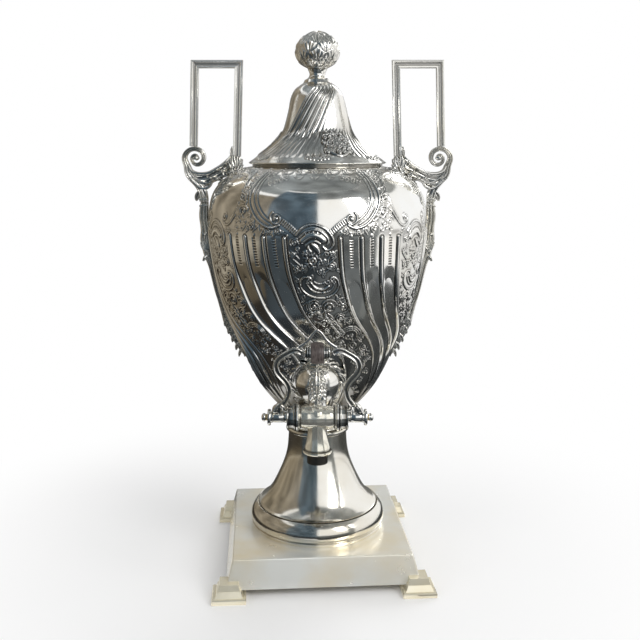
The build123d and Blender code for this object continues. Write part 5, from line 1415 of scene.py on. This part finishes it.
def flag(name, turn, rise, distance, colour):
    """A dark card seen only in reflections: a patch of a sphere round the urn, lit by nothing."""
    steps = 16
    points = []
    for i in range(steps + 1):
        e = math.radians(rise[0] + (rise[1] - rise[0]) * i / steps)
        for j in range(steps + 1):
            a = math.radians(turn[0] + (turn[1] - turn[0]) * j / steps)
            points.append((distance * math.sin(a) * math.cos(e), -distance * math.cos(a) * math.cos(e),
                           0.25 + distance * math.sin(e)))
    faces = grid_faces(steps + 1, steps + 1, wrap=False).tolist()
    card(name, points, faces, colour)


def card(name, points, faces, colour):
    """A stage card that only reflections see."""
    mesh = bpy.data.meshes.new(name)
    mesh.from_pydata(points, [], faces)
    piece = bpy.data.objects.new(name, mesh)
    bpy.context.scene.collection.objects.link(piece)
    material, nodes, links, shader = material_nodes(name)
    cloud = noise(nodes, links, 1.6, 3, nodes.new("ShaderNodeTexCoord").outputs["Object"])
    dark, light = [tuple(share * c for c in colour) for share in (0.55, 1.5)]
    tone = ramp(nodes, links, cloud, [(0.35, dark), (0.7, light)])
    glow = nodes.new("ShaderNodeEmission")
    links.new(tone, glow.inputs["Color"])
    links.new(glow.outputs[0], nodes["Material Output"].inputs["Surface"])
    mesh.materials.append(material)
    piece.visible_camera = False
    piece.visible_diffuse = False
    piece.visible_shadow = False


def floor_ring(name, turn, inner, outer, colour):
    """A dark cloth on the floor, from just outside the plinth outwards, seen only in reflections."""
    steps = 40
    points = []
    for r in (inner, outer):
        for j in range(steps + 1):
            a = math.radians(turn[0] + (turn[1] - turn[0]) * j / steps)
            points.append((r * math.sin(a), -r * math.cos(a), 0.002))
    card(name, points, grid_faces(2, steps + 1, wrap=False).tolist(), colour)


def soft_lamp(name, place, target, size, power):
    """A square softbox aimed at a point."""
    data = bpy.data.lights.new(name, "AREA")
    data.shape = "SQUARE"
    data.size = size
    data.energy = power
    lamp = bpy.data.objects.new(name, data)
    lamp.location = place
    lamp.rotation_euler = (Vector(target) - Vector(place)).to_track_quat("-Z", "Y").to_euler()
    bpy.context.scene.collection.objects.link(lamp)
    lamp.visible_camera = False


def make_camera():
    """The photograph's camera."""
    data = bpy.data.cameras.new("camera")
    data.lens = CAMERA_LENS
    data.sensor_width = 36.0
    data.shift_x, data.shift_y = CAMERA_SHIFT
    camera = bpy.data.objects.new("camera", data)
    camera.location = CAMERA_PLACE
    camera.rotation_euler = (math.radians(90 - CAMERA_PITCH), 0, 0)
    bpy.context.scene.collection.objects.link(camera)
    bpy.context.scene.camera = camera


make_world()
make_floor()
make_camera()
DARK_BLUE = (0.092, 0.128, 0.160)
WARM = (0.27, 0.235, 0.18)
CEILING = (0.25, 0.27, 0.275)
GREY = (0.18, 0.19, 0.19)
flag("flag_front", (-52, 0), (-80, 62), 2.2, DARK_BLUE)
flag("flag_front_low", (0, 52), (-80, 0), 2.2, (0.15, 0.162, 0.168))
flag("flag_front_right", (52, 64), (-80, 60), 2.2, GREY)
flag("flag_right_low", (64, 160), (-80, -30), 2.2, GREY)
flag("flag_left", (-150, -52), (-80, 44), 2.2, WARM)
flag("flag_back", (160, 210), (-80, 50), 2.2, (0.30, 0.30, 0.29))
flag("flag_right_high", (64, 160), (38, 64), 2.2, (0.31, 0.32, 0.315))
flag("flag_front_high", (0, 64), (42, 64), 2.15, (0.20, 0.215, 0.22))
flag("flag_ceiling", (-180, 180), (64, 90), 2.4, CEILING)
flag("flag_ceiling_left", (-150, -52), (50, 64), 2.4, CEILING)
for name, turn, inner, outer, colour in (
    ("front_near", (0, 60), 0.125, 0.34, (0.035, 0.038, 0.04)), ("front_far", (0, 52), 0.34, 2.25,
                                                                 (0.12, 0.13, 0.135)),
    ("front_far_right", (52, 62), 0.34, 2.25, (0.17, 0.18, 0.18)), ("front_left_near", (-60, 0), 0.165, 0.34,
                                                                    (0.022, 0.025, 0.028)),
    ("front_left_far", (-60, 0), 0.34, 2.25, (0.05, 0.062, 0.072)), ("right_near", (60, 150), 0.14, 0.66,
                                                                     (0.08, 0.084, 0.084)),
    ("left_near", (-150, -60), 0.15, 0.48, (0.035, 0.031, 0.026)), ("left_middle", (-150, -60), 0.48, 0.85,
                                                                    (0.13, 0.108, 0.075)),
    ("left_far", (-150, -60), 0.85, 2.25, (0.38, 0.34, 0.27)), ("back", (150, 210), 0.16, 2.25,
                                                                (0.16, 0.16, 0.15)),
):
    floor_ring("cloth_" + name, turn, inner, outer, colour)
soft_lamp("key", (1.6, -1.3, 1.5), (0, 0, 0.22), 1.2, 26)
soft_lamp("fill", (-1.8, -1.2, 1.0), (0, 0, 0.22), 1.2, 9)
soft_lamp("back", (0.6, 1.8, 1.6), (0, 0, 0.22), 1.2, 16)

scene = bpy.context.scene
scene.view_settings.view_transform = "Standard"
